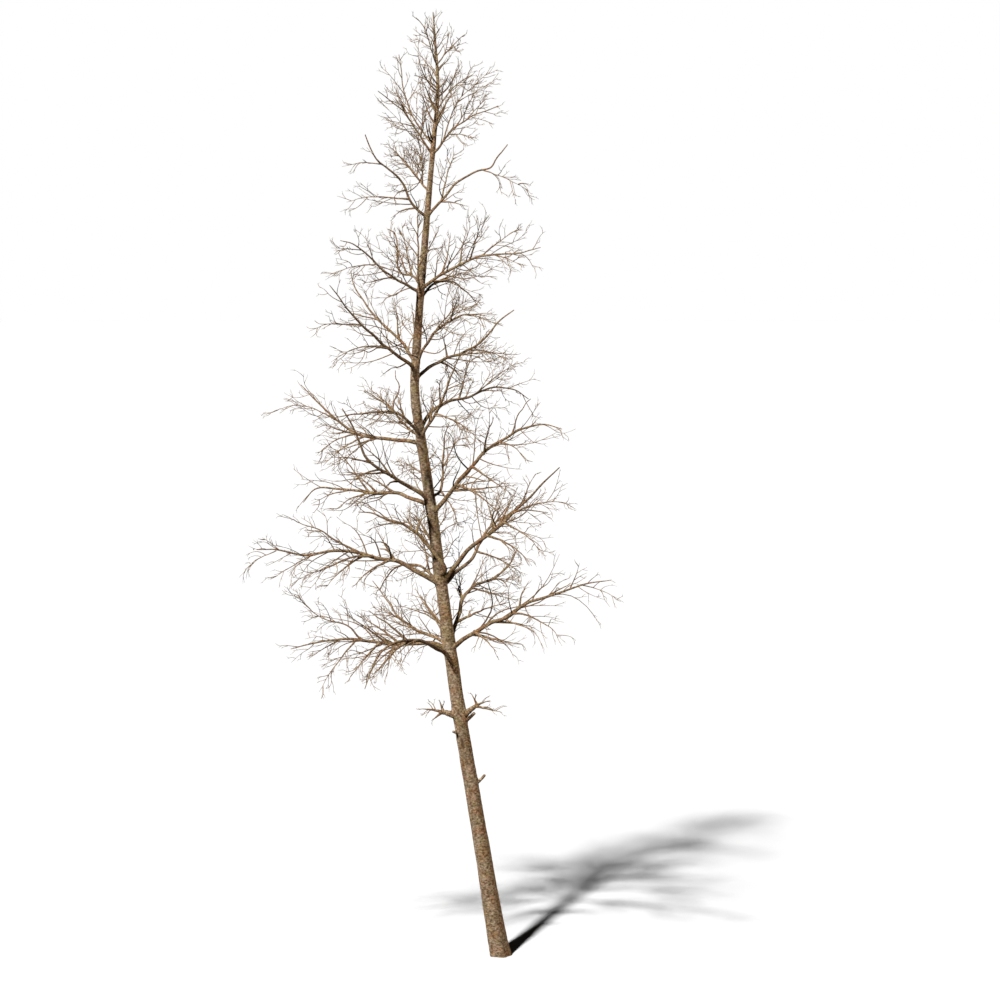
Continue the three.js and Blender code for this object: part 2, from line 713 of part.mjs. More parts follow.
// All the side shoots of one limb
function sideShoots(parent, lift) {
  const shoots = [];
  const reach = parent.to - parent.from;
  const count = Math.max(1, Math.round((reach * parent.length) / SIDE.spacing));
  for (let i = 0; i < count; i++) {
    const seed = childSeed(parent.seed, i);
    const share = parent.from + reach * ((i + 0.5 + 0.3 * swing(seed, 0)) / count) ** CROWDING;
    const aim = shootAim(parent, share, i, seed);
    const short = (SIDE.least * parent.length) / (parent.length + SIDE.ease);
    const fullLength = SIDE.share * (1 - share) * parent.length + short;
    const length = fullLength * (1 + SIDE.spread * swing(seed, 3));
    const rootRadius = Math.max(SIDE.thinnest, SIDE.girth * valueAt(parent.radii, share));
    shoots.push(shootFrom(pointAt(parent, share), aim, lift, length, rootRadius, seed));
  }
  return shoots;
}

// Room in the crown: straight pieces of limb already placed, each with the part it belongs to

const placed = [];

function straightPieces(part, points, radii) {
  const pieces = [];
  for (let i = 0; i + 1 < points.length; i++) {
    const line = new THREE.Line3(points[i], points[i + 1]);
    pieces.push({ part, line, radius: Math.max(radii[i], radii[i + 1]) });
  }
  return pieces;
}

function isClear(pieces) {
  for (const piece of pieces) {
    if (Math.min(piece.line.start.z, piece.line.end.z) < GROUND_CLEARANCE) return false;
    for (const other of placed) {
      if (other.part === piece.part) continue;
      const room = piece.radius + other.radius + CLEARANCE;
      if (piece.line.distanceSqToLine3(other.line) < room * room) return false;
    }
  }
  return true;
}

function place(part, limb) {
  placed.push(...straightPieces(part, limb.points, limb.radii));
}

// Sets a limb in its mass if nothing of another part is in its way
function growIfClear(mass, limb) {
  if (!isClear(straightPieces(mass.name, limb.points, limb.radii))) return false;
  place(mass.name, limb);
  mass.limbs.push(limb);
  return true;
}

// Limbs of the table: a bough and the stem of its mass, or a stem straight from the trunk

function stemOf(row, index) {
  const seed = mixed(index + 1);
  const start = trunkCentre(row.height);
  const points = curvedLimb(start, row, LIMB_STEPS, LIMB_WOBBLE, seed);
  const tipRadius = row.tip ?? (row.snapped ? SNAPPED_TIP_RADIUS : LIMB_TIP_RADIUS);
  const radii = taperedRadii(LIMB_STEPS, row.radius, tipRadius);
  const split = Math.round((row.bough ?? 0) * LIMB_STEPS);
  const bare = split > 0 ? split / LIMB_STEPS : trunkRadius(row.height) / row.length;
  return {
    row, seed, points, radii, split, length: row.length,
    from: row.twigsFrom ?? bare + BARE_COLLAR / row.length,
    to: row.twigsTo ?? (row.snapped ? SNAPPED_BARE_FROM : 0.97),
    lift: lerp(LIFT_LOW, LIFT_HIGH, row.height / TREE_HEIGHT),
  };
}

function armOf(stem, arm, index) {
  const seed = childSeed(stem.seed, 100 + index);
  const steps = Math.max(2, Math.round(arm.length / (arm.snapped ? SNAG_STEP : ARM_STEP)));
  const rootRadius = ARM_GIRTH * valueAt(stem.radii, arm.at);
  return {
    seed, length: arm.length,
    points: curvedLimb(pointAt(stem, arm.at), arm, steps, ARM_WOBBLE, seed),
    radii: taperedRadii(steps, rootRadius, arm.snapped ? LIMB_TIP_RADIUS : 0),
    from: 0.2,
    to: arm.snapped ? 0.4 : 0.97,
    bare: arm.snapped,
  };
}

function massOf(stem) {
  const name = `twigs_${stem.row.name}`;
  const boughName = stem.split > 0 ? `bough_${stem.row.name}` : null;
  return { name, boughName, stem, limbs: [], carriers: [stem] };
}

// The whole crown, order by order, so that stronger limbs take their room before finer ones
function growCrown() {
  const rings = trunkRings(0);
  place("trunk", { points: rings.map((ring) => ring.centre), radii: rings.map((ring) => ring.radius) });
  const masses = LIMBS.map((row, index) => massOf(stemOf(row, index)));
  for (const { name, boughName, stem } of masses) {
    const { points, radii, split } = stem;
    if (boughName) place(boughName, { points: points.slice(0, split + 1), radii });
    place(name, { points: points.slice(split), radii: radii.slice(split) });
  }
  for (const mass of masses) {
    mass.stem.row.arms.forEach((arm, index) => {
      const limb = armOf(mass.stem, arm, index);
      if (growIfClear(mass, limb) && !limb.bare) mass.carriers.push(limb);
    });
  }
  for (const mass of masses) {
    for (const carrier of mass.carriers) {
      sideShoots(carrier, mass.stem.lift)
        .filter((shoot, index) => index % SIDES_KEPT === 0)
        .forEach((shoot) => growIfClear(mass, shoot));
    }
  }
  return masses;
}

// Parts

function trunkSolid(extraRadius) {
  return tube(trunkRings(extraRadius), TRUNK_SIDES, rootLobes);
}

function stubSolid(row, index, trunkRoom) {
  const points = curvedLimb(trunkCentre(row.height), row, STUB_STEPS, LIMB_WOBBLE, mixed(900 + index));
  const radii = taperedRadii(STUB_STEPS, row.radius, 0.8 * row.radius);
  return tube(ringsAlong(points, radii), BOUGH_SIDES).subtract(trunkRoom);
}

function boughSolid(stem, trunkRoom) {
  const rings = ringsAlong(stem.points, stem.radii).slice(0, stem.split + 1);
  return tube(rings, BOUGH_SIDES).subtract(trunkRoom);
}

// The stem starts just past its bough's tip, or at the trunk's skin
function stemSolid(stem, trunkRoom) {
  const radii = [...stem.radii];
  if (!stem.row.snapped) radii[LIMB_STEPS] = 0;
  const rings = ringsAlong(stem.points, radii).slice(stem.split);
  if (stem.split === 0) return tube(rings, STEM_SIDES).subtract(trunkRoom);
  const first = rings[0];
  rings[0] = { ...first, centre: first.centre.clone().addScaledVector(first.tangent, SEAT_GAP) };
  return tube(rings, STEM_SIDES);
}

// The largest body of a fused mass, without loose scraps
function mainBody(solid) {
  const bodies = solid.decompose();
  return bodies.reduce((best, body) => (body.volume() > best.volume() ? body : best));
}

function massSolid(mass, trunkRoom) {
  let solid = stemSolid(mass.stem, trunkRoom);
  for (const limb of mass.limbs) {
    solid = solid.add(tube(ringsAlong(limb.points, limb.radii), 3));
  }
  return mainBody(solid);
}

function meshOf(name, solid, colour) {
  const { numProp, vertProperties, triVerts } = solid.getMesh();
  const places = [];
  for (let i = 0; i < vertProperties.length; i += numProp) {
    places.push(vertProperties[i], vertProperties[i + 1], vertProperties[i + 2]);
  }
  const geometry = new THREE.BufferGeometry();
  geometry.setAttribute("position", new THREE.Float32BufferAttribute(places, 3));
  geometry.setIndex([...triVerts]);
  const finish = new THREE.MeshStandardMaterial({ color: colour, roughness: 0.9 });
  const mesh = new THREE.Mesh(geometry, finish);
  mesh.name = name;
  return mesh;
}

// Assembly

function buildTree() {
  const tree = new THREE.Group();
  tree.name = "dead_pine";
  const trunkRoom = trunkSolid(SEAT_GAP);
  tree.add(meshOf("trunk", trunkSolid(0), TRUNK_COLOUR));
  STUBS.forEach((row, index) => {
    tree.add(meshOf(row.name, stubSolid(row, index, trunkRoom), TRUNK_COLOUR));
  });
  for (const mass of growCrown()) {
    const { name, boughName, stem } = mass;
    if (boughName) tree.add(meshOf(boughName, boughSolid(stem, trunkRoom), BOUGH_COLOUR));
    tree.add(meshOf(name, massSolid(mass, trunkRoom), TWIG_COLOUR));
  }
  return tree;
}

export default buildTree();
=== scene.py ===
# A dead, leaning pine: bark on the trunk and boughs, and masses of bare twigs grown on from the limbs.
# Lengths in the table of limbs and in the branching rules are millimetres; everything built is in
# metres. A bearing is an angle round the trunk seen from above: 0 is +X, 90 is +Y, 180 is -X, 270 the
# front. Shares run from 0 to 1 along a limb.

import math
from types import SimpleNamespace

import bpy
import numpy as np
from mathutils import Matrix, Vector, noise


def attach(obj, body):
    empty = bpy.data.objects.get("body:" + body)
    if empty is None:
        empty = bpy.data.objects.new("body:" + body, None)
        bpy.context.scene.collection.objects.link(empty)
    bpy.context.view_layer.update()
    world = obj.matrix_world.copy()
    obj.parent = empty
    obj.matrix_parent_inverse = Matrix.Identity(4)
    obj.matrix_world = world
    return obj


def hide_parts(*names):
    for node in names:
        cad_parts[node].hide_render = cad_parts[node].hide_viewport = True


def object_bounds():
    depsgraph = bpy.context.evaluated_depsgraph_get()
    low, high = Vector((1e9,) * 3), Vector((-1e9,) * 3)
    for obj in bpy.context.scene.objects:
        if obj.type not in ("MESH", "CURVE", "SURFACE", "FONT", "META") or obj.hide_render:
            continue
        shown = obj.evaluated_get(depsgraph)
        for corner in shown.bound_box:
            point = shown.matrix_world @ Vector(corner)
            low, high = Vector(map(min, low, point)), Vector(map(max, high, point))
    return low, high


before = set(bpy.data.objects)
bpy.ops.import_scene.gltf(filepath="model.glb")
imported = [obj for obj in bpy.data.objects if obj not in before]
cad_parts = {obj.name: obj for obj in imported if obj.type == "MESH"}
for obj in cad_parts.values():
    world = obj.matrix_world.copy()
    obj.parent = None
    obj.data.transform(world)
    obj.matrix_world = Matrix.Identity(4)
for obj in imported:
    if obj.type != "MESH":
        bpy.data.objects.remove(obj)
cad_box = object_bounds()

MM = 0.001
UP = np.array([0.0, 0.0, 1.0])
LEAST_LENGTH = 1e-9

# Trunk, in metres; each bend has its height, its length and how far it turns the lean
TREE_HEIGHT = 14.0
TRUNK_RADIUS = 0.126
TRUNK_TAPER = 0.7
TRUNK_TIP_RADIUS = 0.006
TRUNK_LEAN = -0.164
LEAN_EASE = 1.45e-3
TRUNK_BENDS = [
    (1.6, 1.4, -0.0114), (3.8, 1.4, 0.0266), (6.9, 1.4, -0.0232),
    (8.45, 0.8, 0.215), (9.6, 1.0, 0.0144), (12.9, 0.7, -0.17),
]
SWAY_REACH = -0.07
SWAY_WAVE = 9.0
FLARE_RADIUS = 0.036
FLARE_HEIGHT = 0.75
FLARE_LOBES = 5
LOBE_DEPTH = 0.09
LOBE_HEIGHT = 0.35
TRUNK_SIDES = 72
TRUNK_RINGS = 1350

# Bark relief on the trunk, in metres; a crack's width is a share of a plate, and a pitch is per metre
PLATE_WIDTH = 0.055
PLATE_HEIGHT = 0.028
CRACK_WIDTH = 0.13
CRACK_DEPTH = 0.004
# Painted shade that darkens the cracks, as a share
CRACK_PAINTED_SHADE = 0.45
LUMP_SIZE = 0.3
LUMP_DEPTH = 0.008
GRAIN_PITCH = (45, 45, 16)
GRAIN_OCTAVES = 3
GRAIN_DEPTH = 0.003
FULL_RELIEF_RADIUS = 0.1
# The scar: a shallow groove just below the left stub, darkened with painted shadow of the stub
SCAR_HEIGHT = 3.24
SCAR_BEARING = 256.0
SCAR_LENGTH = 0.1
SCAR_WIDTH = 0.021
SCAR_DEPTH = 0.008
# How strongly painted shadow darkens the scar
SCAR_PAINTED_SHADOW = 1.3

# Layered noise: how fast its layers fade and how much finer each is than the last
NOISE_FADE = 1.0
NOISE_STEP = 2.0

# Swellings on the trunk where limbs leave it, as shares of a limb's radius up to a limit in millimetres
COLLAR_SWELL = 0.7
COLLAR_SPREAD = 1.9
COLLAR_LIMIT = 30

# Limbs, in millimetres, degrees and shares
LIMB_STEPS = 8
LIMB_TAPER = 1.0
BOUGH_TAPER = 0.78
LIMB_TIP_RADIUS = 5
SNAPPED_TIP_RADIUS = 7
LIMB_WOBBLE = 5
BARE_COLLAR = 110
SNAPPED_BARE_FROM = 0.62
TWIGS_FROM = 0.2
TWIGS_TO = 0.97
ARM_STEP = 330
SNAG_STEP = 110
ARM_WOBBLE = 8
ARM_GIRTH = 0.78
ARM_TIP_RADIUS = 2
ARM_ROOT_POINTS = 8
STUB_TIP = 0.8
LINE_PIECES = 48
ELBOWS = 11
ELBOW_REACH = 0.0065

# Bark on the limbs: its swelling at their roots, in shares and metres, its knobs and its rings
ROOT_SWELL = 0.45
ARM_SWELL = 0.3
ROOT_SWELL_LENGTH = 0.09
KNOB_PITCH = 28
KNOB_OCTAVES = 2
KNOB_DEPTH = 0.12
STUB_SIDES = 16
STEM_SIDES = 14
ARM_SIDES = 9
LIMB_NOSE = 0.4
TWIG_NOSE = 1.5

# Branching rule, the same as the solids follow, carried on to finer twigs
GOLDEN_TURN = 137.5
ROLL_WOBBLE = 25
LEAN_WOBBLE = 8
PLACE_WOBBLE = 0.3
LIFT_LOW = -0.12
LIFT_HIGH = 0.16
LIFT_PULL = 0.5
SAG = 0.5
SIDE_BOW = 1.3
SIDE = SimpleNamespace(
    spacing=110, crowding=1.3, angle=(46, 30), share=0.32, least=400, ease=1300, spread=0.4, wobble=0.15,
    girth=0.5, thinnest=6, tip=2, bow=0.1, wave=0.045, points=9, room=0.4, ring_sides=6, first_tint=0,
)
TWIG = SimpleNamespace(
    spacing=90, crowding=0.85, angle=(48, 34), share=0.14, least=250, ease=450, spread=0.4, wobble=0.1,
    girth=0.6, thinnest=4.8, tip=1.6, bow=0.08, wave=0.035, points=6, room=0.8, ring_sides=5, first_tint=1,
)
TWIGLET = SimpleNamespace(
    spacing=106, crowding=0.55, angle=(44, 34), share=0.1, least=125, ease=150, spread=0.35, wobble=0.1,
    girth=0.6, thinnest=3.2, tip=1.4, bow=0.06, wave=0, points=3, room=0.2, ring_sides=4, first_tint=1,
)

# How far apart the shoots of a mass stand, against the rules' own spacing; 1 where none is given
TWIG_ROOM = {
    "w1_left_low": 2.3, "w1_left": 1.5, "w1_left_back": 1.3, "w1_right": 3.2, "w1_back": 2.1,
    "w2_left": 2.1, "w2_front": 1.5, "w2_right": 1.7, "w3_left": 2.5, "w3_left_low": 2.6, "w3_right": 2.5,
    "w4_left": 1.8, "w4_left_front": 0.8, "w4_right_front": 0.8, "w4_right_back": 0.8,
    "w5_left": 2.1, "w5_left_back": 1.8, "w5_right_front": 1.4, "w5_right_back": 0.9, "w5_back": 1.7,
    "w6_left": 1.4, "w6_left_back": 1.4, "w6_front": 1.2, "w6_right": 1.4, "w6_right_back": 1.4,
    "w7_left": 2.3, "w7_left_back": 0.45, "w7_right": 1.0, "w8_left": 1.9, "w8_left_back": 0.9,
    "w8_right": 0.75, "w9_left": 0.85, "w9_right": 0.85,
}

# Where shoots may grow, in metres
GROUND_CLEARANCE = 1.5
TRUNK_CLEARANCE = 0.008
REACH_SPARE = 0.06

# The thin top of the trunk, which carries shoots as a limb does
LEADER_FROM = 12.1
LEADER_TWIGS_TO = 0.98
LEADER_ROOT_POINTS = 3

# Repeatable chance: the mixing's shift and factors, the seeds, and the numbers of their draws
MIX_SHIFT = 16
MIX_FACTOR = 0x45D9F3B
CHILD_FACTOR = 0x85EBCA6B
DRAW_FACTOR = 0x9E3779B9
ARM_SEED = 100
STUB_SEED = 900
LEADER_SEED = 77
PLACE_DRAW = 0
ROLL_DRAW = 1
LEAN_DRAW = 2
LENGTH_DRAW = 3
TURN_DRAW = 4
BOW_DRAW = 20
WAVE_DRAW = 30
FIRST_ROLL_DRAW = 99
ELBOW_DRAW = 200

# Bark: four tones from dark to light in flecks, tinted patches, and painted shade in its cracks and scar
TRUNK_TONES = [
    (0.068, 0.042, 0.023), (0.148, 0.104, 0.062), (0.24, 0.179, 0.117), (0.345, 0.27, 0.187),
]
BOUGH_TONES = [
    (0.036, 0.021, 0.012), (0.096, 0.063, 0.035), (0.16, 0.112, 0.066), (0.24, 0.18, 0.115),
]
# The colour of the painted shade in the trunk's cracks and scar
PAINTED_SHADE_TONE = (0.07, 0.035, 0.019)
TRUNK_FLECKS = 26.0
BOUGH_FLECKS = 36.0
FLECK_STOPS = (0.36, 0.46, 0.55, 0.66)
FLECK_STRETCH = (1, 1, 1.5)
FLECK_ROUGHNESS = 0.65
PATCH_TINTS = [(0.97, 0.79, 0.66), (1.0, 0.87, 0.84), (0.91, 0.95, 0.73)]
PATCH_SCALE = 6.0
PATCH_ROUGHNESS = 0.6
PATCH_EDGE = (0.5, 0.63)
PATCH_SHIFT = (7, 3, 5)
TEXTURE_DETAIL = 3.0
BARK_GLOSS = SimpleNamespace(roughness=0.92, specular=0.2)
BARK_BUMP = SimpleNamespace(strength=0.5, distance=0.01)

# Twigs: each takes one of three tints in a row of these; the dark tint is partly the wood's own tone and
# partly painted shade, for the shadows that twigs would cast on each other and that the lights leave out
TWIG_TINTS = {
    # A darker tint, partly painted shade
    "twig_dark": (0.085, 0.048, 0.022),
    "twig_brown": (0.125, 0.073, 0.035),
    "twig_tan": (0.175, 0.11, 0.055),
    "twig_grey": (0.148, 0.099, 0.055),
}
TINT_CHOICES = 3
TINT_SHIFT = 7
TWIG_GRAIN_SCALE = 160.0
TWIG_GRAIN_DETAIL = 2.0
TWIG_GLOSS = SimpleNamespace(roughness=0.88, specular=0.2)
TWIG_BUMP = SimpleNamespace(strength=0.3, distance=0.002)

# Camera and floor
CAMERA_PLACE = (0.0, -40.95, 10.44)
CAMERA_PITCH = 5.0
CAMERA_LENS = 100.0
CAMERA_SENSOR = 36.0
CAMERA_SIGHT = 1000.0
FLOOR_REACH = 400.0
FLOOR_TONE = 0.14
FLOOR_GLOSS = SimpleNamespace(roughness=1.0, specular=0.0)

# Light: the ways it shines, its strengths and the suns' spread in degrees
SUN_WAY = (0.405, 0.77, -1.0)
SUN_STRENGTH = 9.2
SUN_SPREAD = 2.6
FLOOR_SUN_STRENGTH = 30.6
FLOOR_SUN_SPREAD = 3.4
TRUNK_SUN_WAY = (0.75, 0.6, -1.0)
TRUNK_SUN_STRENGTH = 8.2
TRUNK_FILL_STRENGTH = 2.15
BOUGH_SUN_STRENGTH = 7.2
BOUGH_FILL_WAY = (0.35, 0.9, -0.3)
BOUGH_FILL_STRENGTH = 2.9
SIDE_WAY = (-0.8, 0.5, -0.2)
SIDE_STRENGTH = 0.2
BACK_WAY = (-0.1, -1.0, -0.25)
BACK_STRENGTH = 2.0
FILL_STRENGTH = 0.035
FILL_COLOUR = (1.0, 0.88, 0.74)


def limb(
    name, height, bearing, length, radius, rise,
    bough=0, tip=None, snapped=False, twigs_from=None, twigs_to=None, arms=(),
):
    return SimpleNamespace(
        name=name, height=height, bearing=bearing, length=length, radius=radius, rise=rise,
        bough=bough, tip=tip, snapped=snapped, twigs_from=twigs_from, twigs_to=twigs_to, arms=arms,
    )


def arm(at, bearing, length, rise, snapped=False):
    return SimpleNamespace(at=at, bearing=bearing, length=length, rise=rise, snapped=snapped)


# Limbs from the ground up: name, height, bearing, length, radius, and the slopes from root to tip.
# A limb's bough is the share of it that is a bough's own solid; its twigs grow from twigs_from to
# twigs_to. Its arms have the share of the limb at which they leave it, bearing, length and slopes.
LIMBS = [
    limb("low_left", 3640, 195, 320, 58, [14, 16], tip=25, snapped=True, arms=[
        arm(0.84, 190, 380, [4, 10, 0]),
        arm(0.8, 168, 200, [72, 60]),
        arm(0.88, 214, 210, [-34, -26]),
    ]),
    limb("low_right", 3600, 342, 360, 52, [38, 36], tip=21, snapped=True, arms=[
        arm(0.9, 344, 240, [18, 24]),
        arm(0.86, 336, 430, [-26, 4, -14]),
        arm(0.94, 160, 210, [64, 48]),
    ]),
    limb("w1_left_low", 4440, 234, 2410, 33, [39, 21, 2, -33, -63], bough=0.375, arms=[
        arm(0.4, 246, 740, [10, -30]),
        arm(0.45, 214, 910, [-20, -50]),
        arm(0.6, 254, 650, [-40, -60]),
    ]),
    limb("w1_left", 4600, 196, 2440, 36, [33, 4, 6, 5, -6, -13], bough=0.25, arms=[
        arm(0.27, 184, 780, [44, 36, 42], snapped=True),
        arm(0.3, 221, 820, [-16, -48]),
        arm(0.33, 176, 770, [50, 38, 30]),
        arm(0.4, 212, 910, [46, 30]),
        arm(0.45, 224, 840, [-24, -52]),
        arm(0.56, 200, 1330, [65, 25, 31, 56]),
        arm(0.6, 212, 960, [-38, -58]),
        arm(0.7, 188, 560, [-20, -50]),
    ]),
    limb("w1_left_back", 4680, 143, 1780, 27, [28, 10, 24, 54, 30], arms=[
        arm(0.25, 172, 760, [30, 14]),
        arm(0.38, 165, 700, [40, 25]),
        arm(0.55, 130, 520, [20, 0]),
    ]),
    limb("w1_right", 4620, 317, 3450, 35, [37, 34, 15, 33, 17, 15, 12, 5], bough=0.125, arms=[
        arm(0.15, 335, 820, [-4, -20]),
        arm(0.17, 305, 670, [-8, -30]),
        arm(0.3, 335, 670, [6, -20]),
        arm(0.42, 311, 1200, [2, -14, -54]),
        arm(0.47, 357, 440, [85, 62]),
        arm(0.66, 322, 430, [32, 32], snapped=True),
        arm(0.78, 332, 390, [58, 70]),
        arm(0.84, 321, 740, [-8, -26]),
    ]),
    limb(
        "w1_right_back", 4640, [71, 66, 44, 30], 2300, 34, [50, 52, 62, 14, 9, 36, 76],
        twigs_from=0.3, arms=[
            arm(0.2, 22, 880, [16, 4]),
            arm(0.36, 118, 420, [50, 62]),
            arm(0.5, 12, 760, [-16, -22]),
            arm(0.6, 24, 640, [10, -20]),
            arm(0.7, 20, 460, [-5, -20]),
        ],
    ),
    limb("w1_back", 4520, 104, 2350, 29, [30, 20, 10, 6], arms=[
        arm(0.42, 132, 900, [24, 4]),
        arm(0.55, 78, 850, [14, 0]),
    ]),
    limb("w2_left", 5590, 200, 2950, 38, [29, 29, 17, 14, -10, 8, 3], bough=0.25, arms=[
        arm(0.28, 179, 520, [70, 52]),
        arm(0.31, 214, 730, [-10, -44]),
        arm(0.4, 216, 1470, [0, -14, -30]),
        arm(0.44, 210, 840, [-24, -46]),
        arm(0.48, 186, 1250, [34, 24, 25]),
        arm(0.6, 210, 1130, [-8, -34]),
        arm(0.88, 192, 330, [44, 40]),
        arm(0.9, 200, 680, [-22, -46]),
    ]),
    limb("w2_left_back", 5480, 145, 1520, 24, [54, 46, 4, -12, -45, -70], arms=[
        arm(0.24, 150, 1020, [78, 80, 56]),
    ]),
    limb(
        "w2_front", 5740, [350, 213, 190, 195, 195, 195, 195, 195],
        1900, 38, [9, 56, 58, 48, 31, 20, 20, -1],
        twigs_from=0.52, arms=[
            arm(0.5, 0, 360, [93, 60, 40, 10], snapped=True),
            arm(0.68, 216, 560, [0, -18]),
            arm(0.76, 180, 520, [36, 24]),
        ],
    ),
    limb("w2_right", 5590, 314, 3030, 36, [50, 47, 28, 36, 39, 45, 34], bough=0.375, snapped=True, arms=[
        arm(0.41, 338, 850, [-18, -42]),
        arm(0.46, 336, 750, [52, 40]),
        arm(0.48, 136, 580, [66, 60]),
        arm(0.51, 6, 600, [70, 60]),
        arm(0.54, 304, 1150, [-6, -36]),
        arm(0.62, 318, 1140, [26, 10, -8]),
        arm(0.7, 356, 490, [70, 55]),
    ]),
    limb(
        "w2_right_back", 5560, [70, 48, 26, 16], 2500, 32, [5, 31, 30, 62, 22, 12, -25],
        bough=0.375, arms=[
            arm(0.42, 15, 800, [-10, -35]),
            arm(0.5, 10, 620, [44, 30]),
            arm(0.6, 58, 750, [50, 40]),
        ],
    ),
    limb("w2_back", 5660, 100, 2400, 29, [36, 22, 12, 8], arms=[
        arm(0.42, 74, 900, [28, 15]),
        arm(0.55, 126, 850, [20, 5]),
    ]),
    limb("w3_left", 6830, 222, 2270, 32, [34, 31, 27, 31, 52, 70, 46], bough=0.25, snapped=True, arms=[
        arm(0.3, 246, 770, [10, -16]),
        arm(0.36, 202, 750, [50, 36]),
        arm(0.43, 210, 710, [8, -4]),
        arm(0.48, 239, 740, [0, -20]),
        arm(0.55, 220, 870, [14, 4]),
    ]),
    limb("w3_left_low", 6770, 160, 2200, 32, [24, 18, 0, 1, 5, -8, -70], bough=0.25, arms=[
        arm(0.28, 178, 620, [44, 24]),
        arm(0.33, 150, 700, [-8, -34]),
        arm(0.41, 178, 600, [46, 18]),
        arm(0.44, 168, 700, [-14, -36]),
        arm(0.47, 156, 1060, [42, 43, 26]),
        arm(0.62, 178, 620, [-15, -35]),
    ]),
    limb("w3_right", 6640, 320, 3010, 34, [41, 42, 43, 39, 25, 20, 12, -32], bough=0.125, arms=[
        arm(0.18, 349, 1010, [2, 2, 20]),
        arm(0.22, 329, 900, [-20, -44]),
        arm(0.36, 334, 770, [-16, -38]),
        arm(0.46, 284, 620, [58, 36]),
        arm(0.58, 314, 700, [-5, -30]),
        arm(0.68, 329, 610, [79, 38], snapped=True),
    ]),
    limb("w3_right_back", 6850, [66, 58, 48, 44], 1380, 23, [29, 8, 84, 88, 88, 86, 40], arms=[
        arm(0.24, 330, 660, [-30, -78]),
        arm(0.5, 24, 720, [66, 44]),
        arm(0.7, 340, 520, [20, 0]),
    ]),
    limb("w3_back", 6740, 98, 2050, 25, [34, 24, 14], arms=[
        arm(0.42, 125, 750, [25, 10]),
        arm(0.55, 72, 700, [20, 5]),
    ]),
    limb("w4_left", 7690, 168, 2140, 30, [8, 5, 10, 30, 44, 41, 49], bough=0.25, arms=[
        arm(0.28, 178, 560, [28, 12]),
        arm(0.33, 190, 640, [-10, -28]),
        arm(0.41, 188, 780, [-24, -40]),
        arm(0.44, 180, 700, [24, 8]),
        arm(0.47, 160, 720, [-14, -34]),
        arm(0.58, 176, 1120, [28, 19, 4, -32]),
    ]),
    limb("w4_left_front", 7780, [240, 225, 205, 195], 1700, 26, [40, 36, 26, 4, -4, -10, -12], arms=[
        arm(0.44, 0, 640, [97, 76, 63, 97, 123, 78], snapped=True),
        arm(0.42, 170, 560, [40, 24]),
        arm(0.3, 120, 480, [62, 50]),
        arm(0.5, 255, 700, [10, -15]),
    ]),
    limb("w4_left_back", 7800, 128, 1400, 20, [10, 38, 14]),
    limb(
        "w4_right_back", 7880, [64, 52, 32, 26], 2400, 29, [40, 40, 14, 7, 17, 16, -16, -32],
        bough=0.375, arms=[
            arm(0.46, 35, 1060, [68, 73, 36]),
            arm(0.6, 18, 820, [42, 26]),
        ],
    ),
    limb("w4_right_front", 7770, 308, 1620, 24, [46, 46, 54, 57, 57], arms=[
        arm(0.32, 328, 940, [-6, -46]),
        arm(0.22, 60, 520, [78, 66]),
        arm(0.45, 270, 480, [62, 50]),
        arm(0.6, 350, 420, [36, 18]),
    ]),
    limb("w5_left", 8800, 226, 2110, 27, [25, 27, 34, 41, 45, 50], arms=[
        arm(0.3, 218, 1100, [12, -14, -34]),
        arm(0.6, 211, 870, [6, 0, -40]),
    ]),
    limb("w5_left_back", 8890, 146, 1840, 24, [49, 46, 33, 44, 54, 76], arms=[
        arm(0.26, 100, 680, [70, 64, 45]),
        arm(0.5, 165, 620, [20, 5]),
    ]),
    limb("w5_right_front", 8790, 310, 1940, 24, [57, 53, 35, 27, 16, -1, -4], arms=[
        arm(0.3, 336, 920, [58, 44, 34]),
        arm(0.42, 8, 780, [44, 30, 18]),
        arm(0.58, 288, 740, [40, 24]),
        arm(0.74, 328, 620, [4, -24]),
    ]),
    limb(
        "w5_right_back", 8640, [58, 40, 20, 16], 2080, 27, [30, 26, 11, 20, 18, 47, 50, 20],
        bough=0.25, snapped=True, arms=[
            arm(0.29, 42, 600, [-26, -44]),
            arm(0.36, 150, 420, [76, 70]),
            arm(0.42, 16, 820, [4, -12]),
            arm(0.55, 20, 670, [4, -36]),
        ],
    ),
    limb("w5_back", 8860, 92, 1750, 22, [36, 26, 18], arms=[
        arm(0.45, 66, 650, [25, 15]),
    ]),
    limb("w6_left", 9920, 215, 1610, 22, [24, 28, 31, 41, 24, 6], arms=[
        arm(0.34, 231, 670, [-5, -18]),
        arm(0.55, 205, 770, [-4, -26]),
        arm(0.76, 203, 470, [10, 4]),
    ]),
    limb("w6_left_back", 10000, 122, 1440, 18, [70, 20, 0, 20, 85, 95, 40, 25], snapped=True, arms=[
        arm(0.2, 150, 800, [80, 72]),
        arm(0.3, 172, 760, [66, 56]),
        arm(0.4, 150, 520, [15, 5]),
        arm(0.5, 85, 560, [20, 10]),
    ]),
    limb("w6_front", 9880, 262, 1480, 18, [20, 88, 92, 86], arms=[
        arm(0.35, 310, 640, [54, 44]),
        arm(0.45, 190, 460, [56, 44]),
        arm(0.65, 225, 320, [50, 40]),
        arm(0.75, 320, 300, [50, 40]),
    ]),
    limb("w6_right", 9970, 324, 2230, 24, [29, 24, 20, 12, 2, 10, 18], arms=[
        arm(0.2, 63, 650, [72, 64]),
        arm(0.36, 38, 510, [80, 74]),
        arm(0.44, 293, 820, [52, 40]),
        arm(0.53, 333, 740, [36, 40]),
        arm(0.66, 313, 700, [-8, -22]),
    ]),
    limb("w6_right_back", 9820, [58, 52, 42, 34], 1440, 21, [36, 32, -5, -33, -58], arms=[
